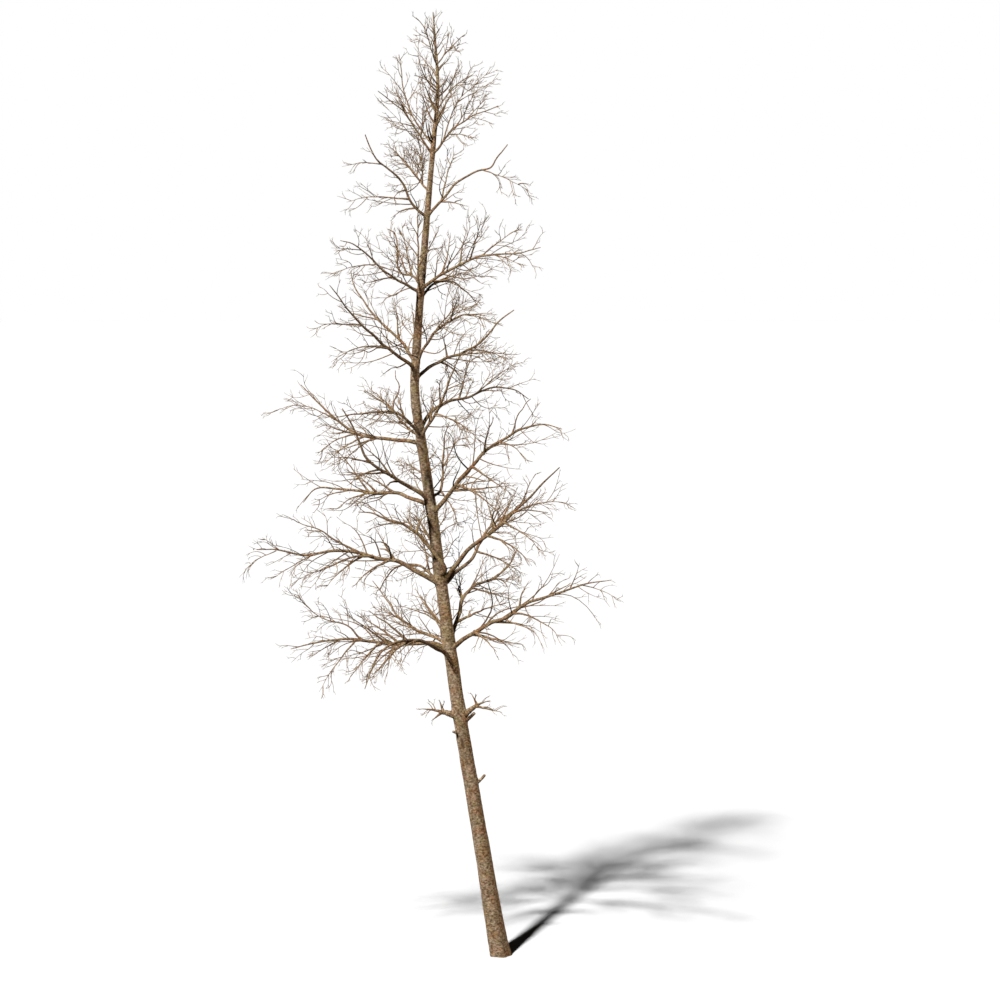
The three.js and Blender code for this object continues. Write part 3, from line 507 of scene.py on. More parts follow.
        arm(0.3, 75, 560, [70, 62]),
        arm(0.4, 28, 880, [45, -4, -10]),
    ]),
    limb("w7_left", 11020, 210, 1590, 20, [37, 41, 68, 33, 31, 64, 73], snapped=True, arms=[
        arm(0.14, 170, 420, [-10, -30]),
        arm(0.24, 186, 940, [16, -12]),
        arm(0.34, 240, 460, [-10, -40]),
        arm(0.68, 198, 600, [6, -10]),
    ]),
    limb("w7_left_back", 11370, 128, 1060, 15, [34, 37, 33], arms=[
        arm(0.2, 215, 800, [84, 80]),
        arm(0.3, 170, 620, [50, 40]),
        arm(0.4, 80, 560, [45, 35]),
    ]),
    limb("w7_right", 11030, 342, 1670, 20, [48, 47, 45, 29, 11, 57, 41], snapped=True, twigs_to=0.28, arms=[
        arm(0.18, 350, 420, [4, -20]),
        arm(0.2, 62, 820, [62, 50]),
        arm(0.66, 335, 810, [-8, -34]),
    ]),
    limb("w8_left", 11930, 204, 1250, 16, [57, 55, 51, 37, 33], arms=[
        arm(0.25, 280, 640, [66, 56]),
        arm(0.4, 195, 460, [20, 5]),
        arm(0.5, 180, 520, [68, 60]),
    ]),
    limb("w8_left_back", 12060, 140, 1560, 14, [42, 48, 62, 80, 84], arms=[
        arm(0.22, 70, 650, [60, 56]),
        arm(0.4, 190, 520, [60, 50]),
    ]),
    limb("w8_right", 11940, 336, 1280, 16, [49, 47, 40, 33, 15, 13], arms=[
        arm(0.2, 30, 1300, [62, 68, 44, 50]),
        arm(0.3, 305, 560, [4, -22]),
        arm(0.42, 320, 620, [62, 48]),
        arm(0.6, 355, 420, [58, 40]),
    ]),
    limb("w9_left", 12880, 205, 430, 10, [42, 26, 6], arms=[
        arm(0.3, 120, 380, [58, 50]),
        arm(0.5, 240, 280, [52, 40]),
    ]),
    limb("w9_right", 12560, 14, 780, 11, [62, 54, 34, 24], arms=[
        arm(0.2, 85, 520, [62, 52]),
        arm(0.42, 300, 460, [60, 48]),
        arm(0.6, 345, 340, [4, -10]),
    ]),
    limb("top_left", 13290, 200, 700, 9, [60, 70, 66, 48], arms=[
        arm(0.3, 150, 300, [38, 28]),
        arm(0.5, 260, 280, [36, 24]),
    ]),
    limb("top_right", 13240, 345, 600, 9, [50, 44, 38], arms=[
        arm(0.3, 60, 380, [66, 58]),
        arm(0.5, 310, 300, [10, 0]),
    ]),
]

# Short stubs of boughs that snapped off
STUBS = [
    limb("stub_right", 2555, 345, 290, 25, [45, 48]),
    limb("stub_left", 3325, 220, 215, 23, [38, 14]),
    limb("stub_low_right", 3500, 326, 310, 29, [38, 42]),
]

# The room between shoots for each row of the table
ROOM = np.array([TWIG_ROOM.get(row.name, 1.0) for row in LIMBS])


# Repeatable chance by whole numbers that wrap at 32 bits


def wrapped(number):
    return np.atleast_1d(number).astype(np.int64).astype(np.uint32)


def mixed(number):
    n = wrapped(number)
    for _ in range(2):
        n = (n ^ (n >> np.uint32(MIX_SHIFT))) * np.uint32(MIX_FACTOR)
    return n ^ (n >> np.uint32(MIX_SHIFT))


def child_seed(seed, index):
    return mixed(seed ^ wrapped(index + 1) * np.uint32(CHILD_FACTOR))


# From 0 to 1
def chance(seed, draw):
    return mixed(seed + wrapped(draw + 1) * np.uint32(DRAW_FACTOR)) / 2.0**32


# From -1 to 1
def swing(seed, draw):
    return 2 * chance(seed, draw) - 1


# Three draws in a row as vectors
def swings(seed, first_draw):
    return np.stack([swing(seed, first_draw + axis) for axis in range(3)], axis=-1)


# Trunk line and girth


# How far aside a bend that turns by 1 has carried the line, the turn growing as a smooth step
def bend_run(share):
    t = np.clip(share, 0, 1)
    return t**3 - t**4 / 2 + np.maximum(share - 1, 0)


def trunk_centre(height):
    z = np.asarray(height, dtype=float)
    x = TRUNK_LEAN * z + LEAN_EASE * z * z
    for place, length, turn in TRUNK_BENDS:
        x = x + turn * length * bend_run((z - place) / length + 0.5)
    y = SWAY_REACH * np.sin(2 * np.pi * z / SWAY_WAVE)
    return np.stack([x, y, z], axis=-1)


def trunk_radius(height):
    z = np.asarray(height, dtype=float)
    left = np.clip(1 - z / TREE_HEIGHT, 0, 1)
    flare = FLARE_RADIUS * np.exp(-z / FLARE_HEIGHT)
    return TRUNK_TIP_RADIUS + (TRUNK_RADIUS - TRUNK_TIP_RADIUS) * left**TRUNK_TAPER + flare


# Directions and curves


def unit(vectors):
    return vectors / np.maximum(np.linalg.norm(vectors, axis=-1, keepdims=True), LEAST_LENGTH)


def value_at(values, share):
    return np.interp(share * (len(values) - 1), np.arange(len(values)), values)


def heading(bearing, rise):
    turn = math.radians(bearing)
    climb = math.radians(rise)
    level = math.cos(climb)
    return np.array([level * math.cos(turn), level * math.sin(turn), math.sin(climb)])


# A smooth curve through a row of points
def smooth_line(points):
    p = np.concatenate([2 * points[:1] - points[1:2], points, 2 * points[-1:] - points[-2:-1]])
    along = np.linspace(0, len(points) - 1, LINE_PIECES + 1)
    i = np.minimum(along.astype(int), len(points) - 2)
    t = (along - i)[:, None]
    a, b, c, d = p[i], p[i + 1], p[i + 2], p[i + 3]
    return 0.5 * (
        2 * b + (c - a) * t + (2 * a - 5 * b + 4 * c - d) * t**2 + (3 * b - a - 3 * c + d) * t**3
    )


# Limbs of the table


# A limb that follows its row of slopes, with a seeded kink at each step
def curved_limb(start, row, steps, wobble, seed):
    points = [start]
    for i in range(steps):
        share = (i + 0.5) / steps
        turn = value_at(np.atleast_1d(row.bearing), share) + wobble * swing(seed, 2 * i)[0]
        climb = value_at(row.rise, share) + wobble * swing(seed, 2 * i + 1)[0]
        points.append(points[-1] + heading(turn, climb) * row.length * MM / steps)
    return np.array(points)


def stem_of(row, index):
    seed = mixed(index + 1)
    split = round(row.bough * LIMB_STEPS)
    bare = split / LIMB_STEPS if split else trunk_radius(row.height * MM) / (row.length * MM)
    tip = SNAPPED_TIP_RADIUS if row.snapped else LIMB_TIP_RADIUS
    height = row.height / (TREE_HEIGHT / MM)
    return SimpleNamespace(
        points=curved_limb(trunk_centre(row.height * MM), row, LIMB_STEPS, LIMB_WOBBLE, seed),
        root=row.radius * MM, tip=(row.tip or tip) * MM, length=row.length * MM,
        start=row.twigs_from or bare + BARE_COLLAR / row.length,
        end=row.twigs_to or (SNAPPED_BARE_FROM if row.snapped else TWIGS_TO),
        lift=LIFT_LOW + (LIFT_HIGH - LIFT_LOW) * height,
        seed=seed[0], bearing=np.mean(row.bearing), snapped=row.snapped, mass=index,
    )


def arm_of(stem, row, index):
    seed = child_seed(stem.seed, ARM_SEED + index)
    along = row.at * LIMB_STEPS
    i = min(int(along), LIMB_STEPS - 1)
    start = stem.points[i] + (stem.points[i + 1] - stem.points[i]) * (along - i)
    girth = stem.tip + (stem.root - stem.tip) * (1 - row.at) ** LIMB_TAPER
    step = SNAG_STEP if row.snapped else ARM_STEP
    steps = max(2, math.floor(row.length / step + 0.5))
    return SimpleNamespace(
        points=curved_limb(start, row, steps, ARM_WOBBLE, seed),
        root=ARM_GIRTH * girth, tip=(LIMB_TIP_RADIUS if row.snapped else ARM_TIP_RADIUS) * MM,
        length=row.length * MM, start=TWIGS_FROM, end=TWIGS_TO, lift=stem.lift,
        seed=seed[0], bearing=row.bearing, snapped=row.snapped, mass=stem.mass,
    )


# The trunk's thin top as a limb of the last mass
def leader():
    return SimpleNamespace(
        points=trunk_centre(np.linspace(LEADER_FROM, TREE_HEIGHT, LIMB_STEPS + 1)),
        root=trunk_radius(LEADER_FROM), tip=TRUNK_TIP_RADIUS, length=TREE_HEIGHT - LEADER_FROM,
        start=0.0, end=LEADER_TWIGS_TO, lift=LIFT_HIGH,
        seed=mixed(LEADER_SEED)[0], bearing=0.0, snapped=False, mass=len(LIMBS) - 1,
    )


# A limb's smooth line with small elbows, none at its root
def limb_line(item):
    line = smooth_line(item.points)
    draws = swing(np.uint32(item.seed), ELBOW_DRAW + np.arange(3 * ELBOWS + 3)).reshape(-1, 3)
    draws[0] = 0
    knots = np.linspace(0, LINE_PIECES, ELBOWS + 1)
    for axis in range(3):
        bend = np.interp(np.arange(LINE_PIECES + 1), knots, draws[:, axis])
        line[:, axis] += ELBOW_REACH * item.length * bend
    return line


# Limbs as arrays with a row for each; stride is how many pieces of its line give one heading
def gathered(limbs):
    def row(name, kind=float):
        return np.array([getattr(item, name) for item in limbs], dtype=kind)

    return SimpleNamespace(
        line=np.array([limb_line(item) for item in limbs]),
        stride=np.full(len(limbs), LINE_PIECES // LIMB_STEPS),
        root=row("root"), tip=row("tip"), length=row("length"), start=row("start"), end=row("end"),
        lift=row("lift"), seed=row("seed", np.uint32), bearing=row("bearing"),
        snapped=row("snapped", bool), mass=row("mass", int),
    )


def only(limbs, kept):
    return SimpleNamespace(**{name: rows[kept] for name, rows in vars(limbs).items()})


def joined(*kinds):
    def rows(name):
        return np.concatenate([getattr(kind, name) for kind in kinds])

    return SimpleNamespace(**{name: rows(name) for name in vars(kinds[0])})


# Branching rule


def line_at(limbs, which, share):
    along = share * (limbs.line.shape[1] - 1)
    i = np.minimum(along.astype(int), limbs.line.shape[1] - 2)
    part = (along - i)[:, None]
    return limbs.line[which, i] * (1 - part) + limbs.line[which, i + 1] * part


def heading_at(limbs, which, share):
    stride = limbs.stride[which]
    steps = (limbs.line.shape[1] - 1) // stride
    i = np.minimum((share * steps).astype(int), steps - 1) * stride
    return unit(limbs.line[which, i + stride] - limbs.line[which, i])


# Directions of side shoots, turned round their parents by the golden angle
def shoot_aim(limbs, rule, which, share, index, seed):
    along = heading_at(limbs, which, share)
    across = unit(np.cross(along, UP))
    over = np.cross(across, along)
    start = 360 * chance(limbs.seed[which], FIRST_ROLL_DRAW)
    roll = np.radians(GOLDEN_TURN * index + start + ROLL_WOBBLE * swing(seed, ROLL_DRAW))[:, None]
    lean = rule.angle[0] + (rule.angle[1] - rule.angle[0]) * share
    lean = np.radians(lean + LEAN_WOBBLE * swing(seed, LEAN_DRAW))[:, None]
    outward = across * np.cos(roll) + over * np.sin(roll)
    return along * np.cos(lean) + outward * np.sin(lean)


# Lines from root to tip that bow to one side and wave a little between
def bent_lines(root, way, length, lift, rule, seed):
    t = np.linspace(0, 1, rule.points)[None, :, None]
    reach = length[:, None, None]
    sag = np.where(lift > 0, -SAG, SAG)[:, None] * UP
    bow = rule.bow * (sag + SIDE_BOW * swings(seed, BOW_DRAW))[:, None] * np.sin(np.pi * t)
    wave = rule.wave * swings(seed, WAVE_DRAW)[:, None] * np.sin(2 * np.pi * t)
    return root[:, None] + reach * (way[:, None] * t + bow + wave)


# Lines that stay about as far in as the solids do
def in_reach(line):
    low, high = (np.array(corner) for corner in cad_box)
    return ((line > low - REACH_SPARE) & (line < high + REACH_SPARE)).all(axis=(1, 2))


# Lines that neither meet the trunk nor hang too low
def clear_of_trunk(line, radius):
    height = np.clip(line[..., 2], 0, TREE_HEIGHT)
    centre = trunk_centre(height)
    apart = np.hypot(line[..., 0] - centre[..., 0], line[..., 1] - centre[..., 1])
    room = trunk_radius(height) + radius[:, None] + TRUNK_CLEARANCE
    return (apart > room).all(axis=1) & (line[..., 2] > GROUND_CLEARANCE).all(axis=1)


# All the side shoots of these limbs that stay clear of the trunk, beyond their first points, and in reach
def side_shoots(limbs, rule, root_points=1):
    reach = limbs.end - limbs.start
    room = rule.spacing * MM * ROOM[limbs.mass] ** rule.room
    count = np.maximum(0, np.floor(reach * limbs.length / room + 0.5)).astype(int)
    which = np.repeat(np.arange(len(count)), count)
    index = np.arange(len(which)) - np.repeat(np.cumsum(count) - count, count)
    seed = child_seed(limbs.seed[which], index)
    along = ((index + 0.5 + PLACE_WOBBLE * swing(seed, PLACE_DRAW)) / count[which]) ** rule.crowding
    share = limbs.start[which] + reach[which] * along
    aim = shoot_aim(limbs, rule, which, share, index, seed)
    short = rule.least * MM * limbs.length[which] / (limbs.length[which] + rule.ease * MM)
    length = rule.share * (1 - share) * limbs.length[which] + short
    length = length * (1 + rule.spread * swing(seed, LENGTH_DRAW))
    girth = limbs.tip[which] + (limbs.root - limbs.tip)[which] * (1 - share) ** LIMB_TAPER
    lift = limbs.lift[which]
    way = unit(aim + rule.wobble * swings(seed, TURN_DRAW) + LIFT_PULL * lift[:, None] * UP)
    same = np.ones(len(which))
    shoots = SimpleNamespace(
        line=bent_lines(line_at(limbs, which, share), way, length, lift, rule, seed),
        stride=np.full(len(which), rule.points - 1),
        root=np.maximum(rule.thinnest * MM, rule.girth * girth), tip=rule.tip * MM * same,
        length=length, start=TWIGS_FROM * same, end=TWIGS_TO * same,
        lift=lift, seed=seed, mass=limbs.mass[which],
    )
    clear = clear_of_trunk(shoots.line[:, root_points:], shoots.root)
    return only(shoots, clear & in_reach(shoots.line))


# Meshes from arrays


def taper(limbs, rings, power=LIMB_TAPER):
    left = (1 - np.linspace(0, 1, rings)) ** power
    return limbs.tip[:, None] + (limbs.root - limbs.tip)[:, None] * left


# Directions along each line and square to it: two for every ring
def ring_axes(line, guide):
    ahead = np.diff(line, axis=1)
    along = unit(np.concatenate([ahead[:, :1], ahead[:, 1:] + ahead[:, :-1], ahead[:, -1:]], axis=1))
    normal = unit(np.cross(along, guide[:, None]))
    return along, normal, np.cross(along, normal)


# The axis that each line runs along least
def free_guide(line):
    way = np.abs(unit(line[:, -1] - line[:, 0]))
    return np.eye(3)[way.argmin(axis=1)]


# Faces of a tube of rings that closes in one point after its last ring
def tube_faces(rings, sides):
    ring, side = np.meshgrid(np.arange(rings - 1), np.arange(sides), indexing="ij")
    here = (ring * sides + side).ravel()
    beside = (ring * sides + (side + 1) % sides).ravel()
    quads = np.stack([here, beside, beside + sides, here + sides], axis=-1)
    edge = (rings - 1) * sides + np.arange(sides)
    ends = np.stack([edge, np.roll(edge, -1), np.full(sides, rings * sides)], axis=-1)
    return quads, ends


# Points and faces of a row of tubes; relief reshapes the rings, nose is a tip's length in end radii
def tubes(line, radii, sides, guide, relief=None, nose=TWIG_NOSE):
    count, rings = radii.shape
    along, normal, binormal = ring_axes(line, guide)
    turn = 2 * np.pi * np.arange(sides) / sides
    round_x = np.cos(turn)[None, None, :, None]
    round_y = np.sin(turn)[None, None, :, None]
    reach = radii[:, :, None, None] * (normal[:, :, None] * round_x + binormal[:, :, None] * round_y)
    if relief:
        reach = relief(line, reach)
    skin = line[:, :, None] + reach
    tips = line[:, -1] + along[:, -1] * radii[:, -1:] * nose
    points = np.concatenate([skin.reshape(count, -1, 3), tips[:, None]], axis=1)
    quads, ends = tube_faces(rings, sides)
    shift = (np.arange(count) * points.shape[1])[:, None, None]
    return points.reshape(-1, 3), (quads + shift).reshape(-1, 4), (ends + shift).reshape(-1, 3)


# One mesh object from several rows of tubes; tints are each row's material numbers, one for a tube
def mesh_piece(name, rows, materials, tints=None):
    points, loops, sizes, numbers = [], [], [], []
    offset = 0
    for k, (skin, quads, ends) in enumerate(rows):
        points.append(skin)
        loops += [(quads + offset).ravel(), (ends + offset).ravel()]
        sizes += [np.full(len(quads), 4), np.full(len(ends), 3)]
        if tints:
            tint = tints[k]
            numbers += [np.repeat(tint, len(quads) // len(tint)), np.repeat(tint, len(ends) // len(tint))]
        offset += len(skin)
    points, loops, sizes = np.concatenate(points), np.concatenate(loops), np.concatenate(sizes)
    mesh = bpy.data.meshes.new(name)
    mesh.vertices.add(len(points))
    mesh.vertices.foreach_set("co", points.astype(np.float32).ravel())
    mesh.loops.add(len(loops))
    mesh.loops.foreach_set("vertex_index", loops.astype(np.int32))
    mesh.polygons.add(len(sizes))
    mesh.polygons.foreach_set("loop_start", (np.cumsum(sizes) - sizes).astype(np.int32))
    mesh.polygons.foreach_set("use_smooth", np.ones(len(sizes), dtype=bool))
    for material in materials:
        mesh.materials.append(material)
    if tints:
        mesh.polygons.foreach_set("material_index", np.concatenate(numbers).astype(np.int32))
    mesh.update(calc_edges=True)
    piece = bpy.data.objects.new(name, mesh)
    bpy.context.scene.collection.objects.link(piece)
    return piece


# Trunk with its bark


# Angles from a bearing, between half a turn back and half a turn on
def angle_from(bearing, angle):
    return (angle - math.radians(bearing) + np.pi) % (2 * np.pi) - np.pi


# How far the bark stands out at each point of the trunk, and how much painted shade darkens its cracks
def bark_relief(skin, radius):
    out = np.zeros(len(skin))
    dark = np.zeros(len(skin))
    stretch = Vector((1 / PLATE_WIDTH, 1 / PLATE_WIDTH, 1 / PLATE_HEIGHT))
    pitch = Vector(GRAIN_PITCH)
    for i, point in enumerate(skin):
        place = Vector(point)
        strength = min(1.0, radius[i] / FULL_RELIEF_RADIUS)
        near = noise.voronoi(place * stretch)[0]
        crack = max(0.0, 1 - (near[1] - near[0]) / CRACK_WIDTH)
        lump = noise.noise(place / LUMP_SIZE)
        grain = noise.fractal(place * pitch, NOISE_FADE, NOISE_STEP, GRAIN_OCTAVES)
        out[i] = strength * (LUMP_DEPTH * lump + GRAIN_DEPTH * grain - CRACK_DEPTH * crack)
        # Painted shade in the cracks
        dark[i] = CRACK_PAINTED_SHADE * crack
    return out, dark


# Swellings where limbs leave the trunk
def collar_swell(angle, height, radius):
    out = np.zeros(len(angle))
    for row in LIMBS + STUBS:
        root = row.height * MM
        size = min(row.radius, COLLAR_LIMIT) * MM
        place = root + trunk_radius(root) * math.tan(math.radians(row.rise[0]))
        aside = angle_from(np.atleast_1d(row.bearing)[0], angle) * radius
        apart = np.hypot(aside, height - place) / (COLLAR_SPREAD * size)
        out += COLLAR_SWELL * size * np.exp(-(apart**2))
    return out


# The long groove a bough left in the bark when it tore off, just below the left stub; its mask also carries
# painted shadow of the stub
def scar_and_shadow(angle, height, radius):
    aside = angle_from(SCAR_BEARING, angle) * radius
    return np.exp(-((aside / SCAR_WIDTH) ** 2) - ((height - SCAR_HEIGHT) / SCAR_LENGTH) ** 4)


def trunk_piece(material):
    height = TREE_HEIGHT * np.linspace(0, 1, TRUNK_RINGS)
    turn = 2 * np.pi * np.arange(TRUNK_SIDES) / TRUNK_SIDES
    z, angle = (a.ravel() for a in np.meshgrid(height, turn, indexing="ij"))
    girth = trunk_radius(z)
    radius = girth * (1 + LOBE_DEPTH * np.exp(-z / LOBE_HEIGHT) * np.cos(FLARE_LOBES * angle))
    outward = np.stack([np.cos(angle), np.sin(angle), np.zeros(len(z))], axis=-1)
    skin = trunk_centre(z) + radius[:, None] * outward
    # dark is the painted shade in the cracks
    out, dark = bark_relief(skin, radius)
    out += collar_swell(angle, z, girth)
    # The scar's groove, which also takes painted shadow of the left stub
    scar_and_shadow_share = scar_and_shadow(angle, z, girth)
    out -= SCAR_DEPTH * scar_and_shadow_share
    dark = np.clip(np.maximum(dark, SCAR_PAINTED_SHADOW * scar_and_shadow_share), 0, 1)
    skin += out[:, None] * outward
    skin = np.concatenate([skin, trunk_centre(TREE_HEIGHT)[None]])
    piece = mesh_piece("trunk_bark", [(skin, *tube_faces(TRUNK_RINGS, TRUNK_SIDES))], [material])
    # The painted shade of the cracks and the scar, kept on the mesh for the bark's colour
    hollow = piece.data.attributes.new("hollow", "FLOAT", "POINT")
    hollow.data.foreach_set("value", np.append(dark, 0).astype(np.float32))
    return piece


# Boughs, arms and stubs with their bark


def knobbly(line, reach):
    skin = (line[:, :, None] + reach).reshape(-1, 3)
    bumps = [noise.fractal(Vector(p) * KNOB_PITCH, NOISE_FADE, NOISE_STEP, KNOB_OCTAVES) for p in skin]
    return reach * (1 + KNOB_DEPTH * np.array(bumps).reshape(reach.shape[:3] + (1,)))


def limb_tubes(limbs, sides, swell, power=LIMB_TAPER):
    rings = limbs.line.shape[1]
    run = np.linspace(0, 1, rings)[None] * limbs.length[:, None]
    radii = taper(limbs, rings, power) * (1 + swell * np.exp(-run / ROOT_SWELL_LENGTH))
    turn = np.radians(limbs.bearing)
    guide = np.stack([-np.sin(turn), np.cos(turn), np.zeros(len(turn))], axis=-1)
    return tubes(limbs.line, radii, sides, guide, knobbly, LIMB_NOSE)


# Materials


def shader(name, gloss):
    material = bpy.data.materials.new(name)
    material.use_nodes = True
    surface = material.node_tree.nodes["Principled BSDF"]
    surface.inputs["Roughness"].default_value = gloss.roughness
    surface.inputs["Specular IOR Level"].default_value = gloss.specular
    return material, material.node_tree, surface


# A link from another node's output, or a plain value
def feed(tree, socket, value):
    if isinstance(value, bpy.types.NodeSocket):
        tree.links.new(value, socket)
    else:
        socket.default_value = value


def add(tree, kind, inputs=(), **settings):
    made = tree.nodes.new(kind)
    for name, value in settings.items():
        setattr(made, name, value)
    for name, value in dict(inputs).items():
        feed(tree, made.inputs[name], value)
    return made


def ramp(tree, value, stops):
    made = add(tree, "ShaderNodeValToRGB", {"Fac": value})
    marks = made.color_ramp.elements
    while len(marks) < len(stops):
        marks.new(0.5)
    for mark, (place, colour) in zip(marks, stops):
        mark.position = place
        mark.color = (*colour, 1)
    return made.outputs["Color"]


# A mix node's sockets for colours are 0, 6 and 7, and its colour comes out of 2
def mixed_colour(tree, share, one, other, blend="MIX"):
    inputs = {0: share, 6: one, 7: other}
    return add(tree, "ShaderNodeMix", inputs, data_type="RGBA", blend_type=blend).outputs[2]


def noise_texture(tree, place, scale, roughness):
    inputs = {"Vector": place, "Scale": scale, "Detail": TEXTURE_DETAIL, "Roughness": roughness}
    return add(tree, "ShaderNodeTexNoise", inputs).outputs["Fac"]


def roughen(tree, surface, height, bump):
    inputs = {"Height": height, "Strength": bump.strength, "Distance": bump.distance}
    made = add(tree, "ShaderNodeBump", inputs)
    tree.links.new(made.outputs["Normal"], surface.inputs["Normal"])


# Flecked bark from dark to light tones with tinted patches; its last argument names the mesh value of
# painted shade that darkens it
def bark_material(name, tones, fleck_scale, hollow=None):
    material, tree, surface = shader(name, BARK_GLOSS)
    place = add(tree, "ShaderNodeTexCoord").outputs["Object"]
    flat = add(tree, "ShaderNodeMapping", {"Vector": place, "Scale": FLECK_STRETCH}).outputs["Vector"]
    fleck = noise_texture(tree, flat, fleck_scale, FLECK_ROUGHNESS)
    colour = ramp(tree, fleck, list(zip(FLECK_STOPS, tones)))
    for k, tint in enumerate(PATCH_TINTS):
        shift = [k * step for step in PATCH_SHIFT]
        aside = add(tree, "ShaderNodeMapping", {"Vector": place, "Location": shift}).outputs["Vector"]
        patch = noise_texture(tree, aside, PATCH_SCALE, PATCH_ROUGHNESS)
        share = ramp(tree, patch, list(zip(PATCH_EDGE, [(0, 0, 0), (1, 1, 1)])))
        tinted = mixed_colour(tree, 1.0, colour, (*tint, 1), "MULTIPLY")
        colour = mixed_colour(tree, share, colour, tinted)
    # Painted shade from the mesh value darkens the bark towards one tone
    if hollow:
        shade_share = add(tree, "ShaderNodeAttribute", attribute_name=hollow).outputs["Fac"]
        colour = mixed_colour(tree, shade_share, colour, (*PAINTED_SHADE_TONE, 1))
    tree.links.new(colour, surface.inputs["Base Color"])
    roughen(tree, surface, fleck, BARK_BUMP)
    return material


# Dry twigs of one plain tint with a fine grain
def twig_material(name, colour):
    material, tree, surface = shader(name, TWIG_GLOSS)
    surface.inputs["Base Color"].default_value = (*colour, 1)
    inputs = {"Scale": TWIG_GRAIN_SCALE, "Detail": TWIG_GRAIN_DETAIL}
    grain = add(tree, "ShaderNodeTexNoise", inputs).outputs["Fac"]
    roughen(tree, surface, grain, TWIG_BUMP)
    return material


# Twigs


# The twigs of some masses as one piece; kinds are the shoots with the rule each grew by
def twig_piece(name, masses, kinds, materials):
    rows, tints = [], []
    for limbs, rule in kinds:
        own = only(limbs, np.isin(limbs.mass, masses))
        radii = taper(own, rule.points)
        rows.append(tubes(own.line, radii, rule.ring_sides, free_guide(own.line)))
        tints.append(rule.first_tint + (own.seed >> np.uint32(TINT_SHIFT)) % np.uint32(TINT_CHOICES))
    piece = mesh_piece(name, rows, materials, tints)
    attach(piece, "root")
    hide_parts(*[f"twigs_{LIMBS[m].name}" for m in masses])
    return piece


# The numbers of the masses in each whorl, by the first word of their names
def whorl_masses():
    whorls = {}
    for number, row in enumerate(LIMBS):
        whorls.setdefault(row.name.split("_")[0], []).append(number)
    return whorls


# Floor, light and camera


def floor_piece():
    mesh = bpy.data.meshes.new("floor")
    r = FLOOR_REACH
    mesh.from_pydata([(-r, -r, 0), (r, -r, 0), (r, r, 0), (-r, r, 0)], [], [(0, 1, 2, 3)])
    material, _, surface = shader("floor_white", FLOOR_GLOSS)
    surface.inputs["Base Color"].default_value = (FLOOR_TONE, FLOOR_TONE, FLOOR_TONE, 1)
    mesh.materials.append(material)
    floor = bpy.data.objects.new("floor", mesh)
    bpy.context.scene.collection.objects.link(floor)
    floor.visible_diffuse = False
    floor.visible_glossy = False
    return floor


def named_group(name, pieces):
    group = bpy.data.collections.new(name)
    for piece in pieces:
        group.objects.link(piece)
    return group


# Sunlight on some pieces only, with shadows of all pieces or of some
def sun_lamp(name, way, strength, lit, shading=None, colour=(1, 1, 1), spread=SUN_SPREAD):
    lamp = bpy.data.lights.new(name, "SUN")
    lamp.energy = strength
    lamp.color = colour
    lamp.angle = math.radians(spread)
    lamp.cycles.use_multiple_importance_sampling = False
    sun = bpy.data.objects.new(name, lamp)
    sun.rotation_euler = Vector(way).to_track_quat("-Z", "Y").to_euler()
    bpy.context.scene.collection.objects.link(sun)
    sun.light_linking.receiver_collection = named_group(f"{name}_lit", lit)
    if shading:
        sun.light_linking.blocker_collection = named_group(f"{name}_shading", shading)


# White to the eye, and a low even fill for the tree
def white_world():
    world = bpy.data.worlds.new("white")
    bpy.context.scene.world = world
    world.use_nodes = True
    tree = world.node_tree
    backdrop = tree.nodes["Background"]
    backdrop.inputs["Strength"].default_value = FILL_STRENGTH
    backdrop.inputs["Color"].default_value = (*FILL_COLOUR, 1)
    white = add(tree, "ShaderNodeBackground", {"Color": (1, 1, 1, 1), "Strength": 1.0})
    seen = add(tree, "ShaderNodeLightPath").outputs["Is Camera Ray"]
    mix = add(tree, "ShaderNodeMixShader", {0: seen, 1: backdrop.outputs[0], 2: white.outputs[0]})
    tree.links.new(mix.outputs[0], tree.nodes["World Output"].inputs["Surface"])


def photo_camera():
    data = bpy.data.cameras.new("camera")
    data.lens = CAMERA_LENS
    data.sensor_width = CAMERA_SENSOR
    data.clip_end = CAMERA_SIGHT
    camera = bpy.data.objects.new("camera", data)
    camera.location = CAMERA_PLACE
    camera.rotation_euler = (math.radians(90 - CAMERA_PITCH), 0, 0)
    bpy.context.scene.collection.objects.link(camera)
    bpy.context.scene.camera = camera


# Limbs and shoots of the whole tree

stems = [stem_of(row, index) for index, row in enumerate(LIMBS)]
arms = [arm_of(stem, row, k) for stem, line in zip(stems, LIMBS) for k, row in enumerate(line.arms)]
stem_limbs = gathered(stems)
arm_limbs = gathered(arms)
arm_limbs = only(arm_limbs, clear_of_trunk(arm_limbs.line[:, ARM_ROOT_POINTS:], arm_limbs.root))
stub_limbs = gathered([stem_of(row, STUB_SEED + k) for k, row in enumerate(STUBS)])
stub_limbs.tip = STUB_TIP * stub_limbs.root
leader_limb = gathered([leader()])

whole_arms = only(arm_limbs, ~arm_limbs.snapped)
sides = joined(
    side_shoots(joined(stem_limbs, whole_arms), SIDE),
    side_shoots(leader_limb, SIDE, LEADER_ROOT_POINTS),
)
twigs = joined(
    side_shoots(sides, TWIG),
    side_shoots(whole_arms, TWIG),
    side_shoots(leader_limb, TWIG, LEADER_ROOT_POINTS),
)
twiglets = side_shoots(twigs, TWIGLET)

# Pieces of the tree

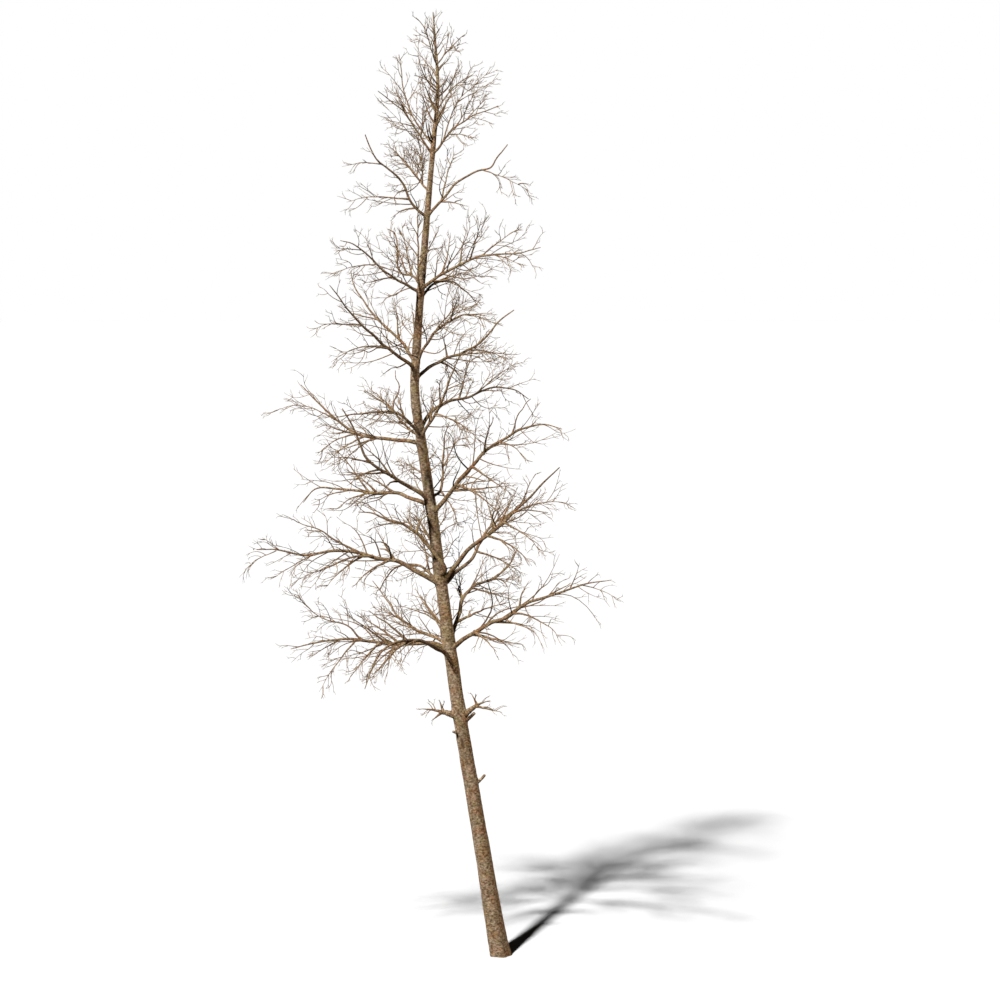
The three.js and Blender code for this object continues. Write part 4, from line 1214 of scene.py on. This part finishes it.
# The trunk's bark is darkened by painted shade kept on its mesh
trunk_bark = bark_material("trunk_bark", TRUNK_TONES, TRUNK_FLECKS, "hollow")
bough_bark = bark_material("bough_bark", BOUGH_TONES, BOUGH_FLECKS)
twig_materials = [twig_material(name, colour) for name, colour in TWIG_TINTS.items()]

trunk = trunk_piece(trunk_bark)
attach(trunk, "root")
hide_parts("trunk")

stubs = mesh_piece("stub_bark", [limb_tubes(stub_limbs, STUB_SIDES, ROOT_SWELL)], [trunk_bark])
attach(stubs, "root")
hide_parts(*[row.name for row in STUBS])

stem_tubes = limb_tubes(stem_limbs, STEM_SIDES, ROOT_SWELL, BOUGH_TAPER)
arm_tubes = limb_tubes(arm_limbs, ARM_SIDES, ARM_SWELL)
boughs = mesh_piece("bough_bark", [stem_tubes, arm_tubes], [bough_bark])
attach(boughs, "root")
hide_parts(*[f"bough_{row.name}" for row in LIMBS if row.bough])

kinds = [(sides, SIDE), (twigs, TWIG), (twiglets, TWIGLET)]
twig_pieces = [
    twig_piece(f"twigs_{whorl}", masses, kinds, twig_materials)
    for whorl, masses in whorl_masses().items()
]

# Stage: the whole tree shades the floor, and only thick wood shades the tree itself

floor = floor_piece()
crown = [boughs, *twig_pieces]
limbs_only = [trunk, stubs, boughs]
sun_lamp("floor_sun", SUN_WAY, FLOOR_SUN_STRENGTH, [floor], spread=FLOOR_SUN_SPREAD)
sun_lamp("trunk_sun", TRUNK_SUN_WAY, TRUNK_SUN_STRENGTH, [trunk, stubs], limbs_only)
sun_lamp("bough_sun", SUN_WAY, BOUGH_SUN_STRENGTH, [boughs], limbs_only)
sun_lamp("bough_fill", BOUGH_FILL_WAY, BOUGH_FILL_STRENGTH, [boughs], limbs_only, FILL_COLOUR)
sun_lamp("twig_sun", SUN_WAY, SUN_STRENGTH, twig_pieces, [trunk, stubs])
sun_lamp("trunk_fill", SIDE_WAY, TRUNK_FILL_STRENGTH, [trunk, stubs], limbs_only, FILL_COLOUR)
sun_lamp("side_fill", SIDE_WAY, SIDE_STRENGTH, crown, limbs_only, FILL_COLOUR)
sun_lamp("back_fill", BACK_WAY, BACK_STRENGTH, [trunk, stubs, *crown], limbs_only, FILL_COLOUR)
white_world()
photo_camera()
bpy.context.scene.view_settings.view_transform = "Standard"
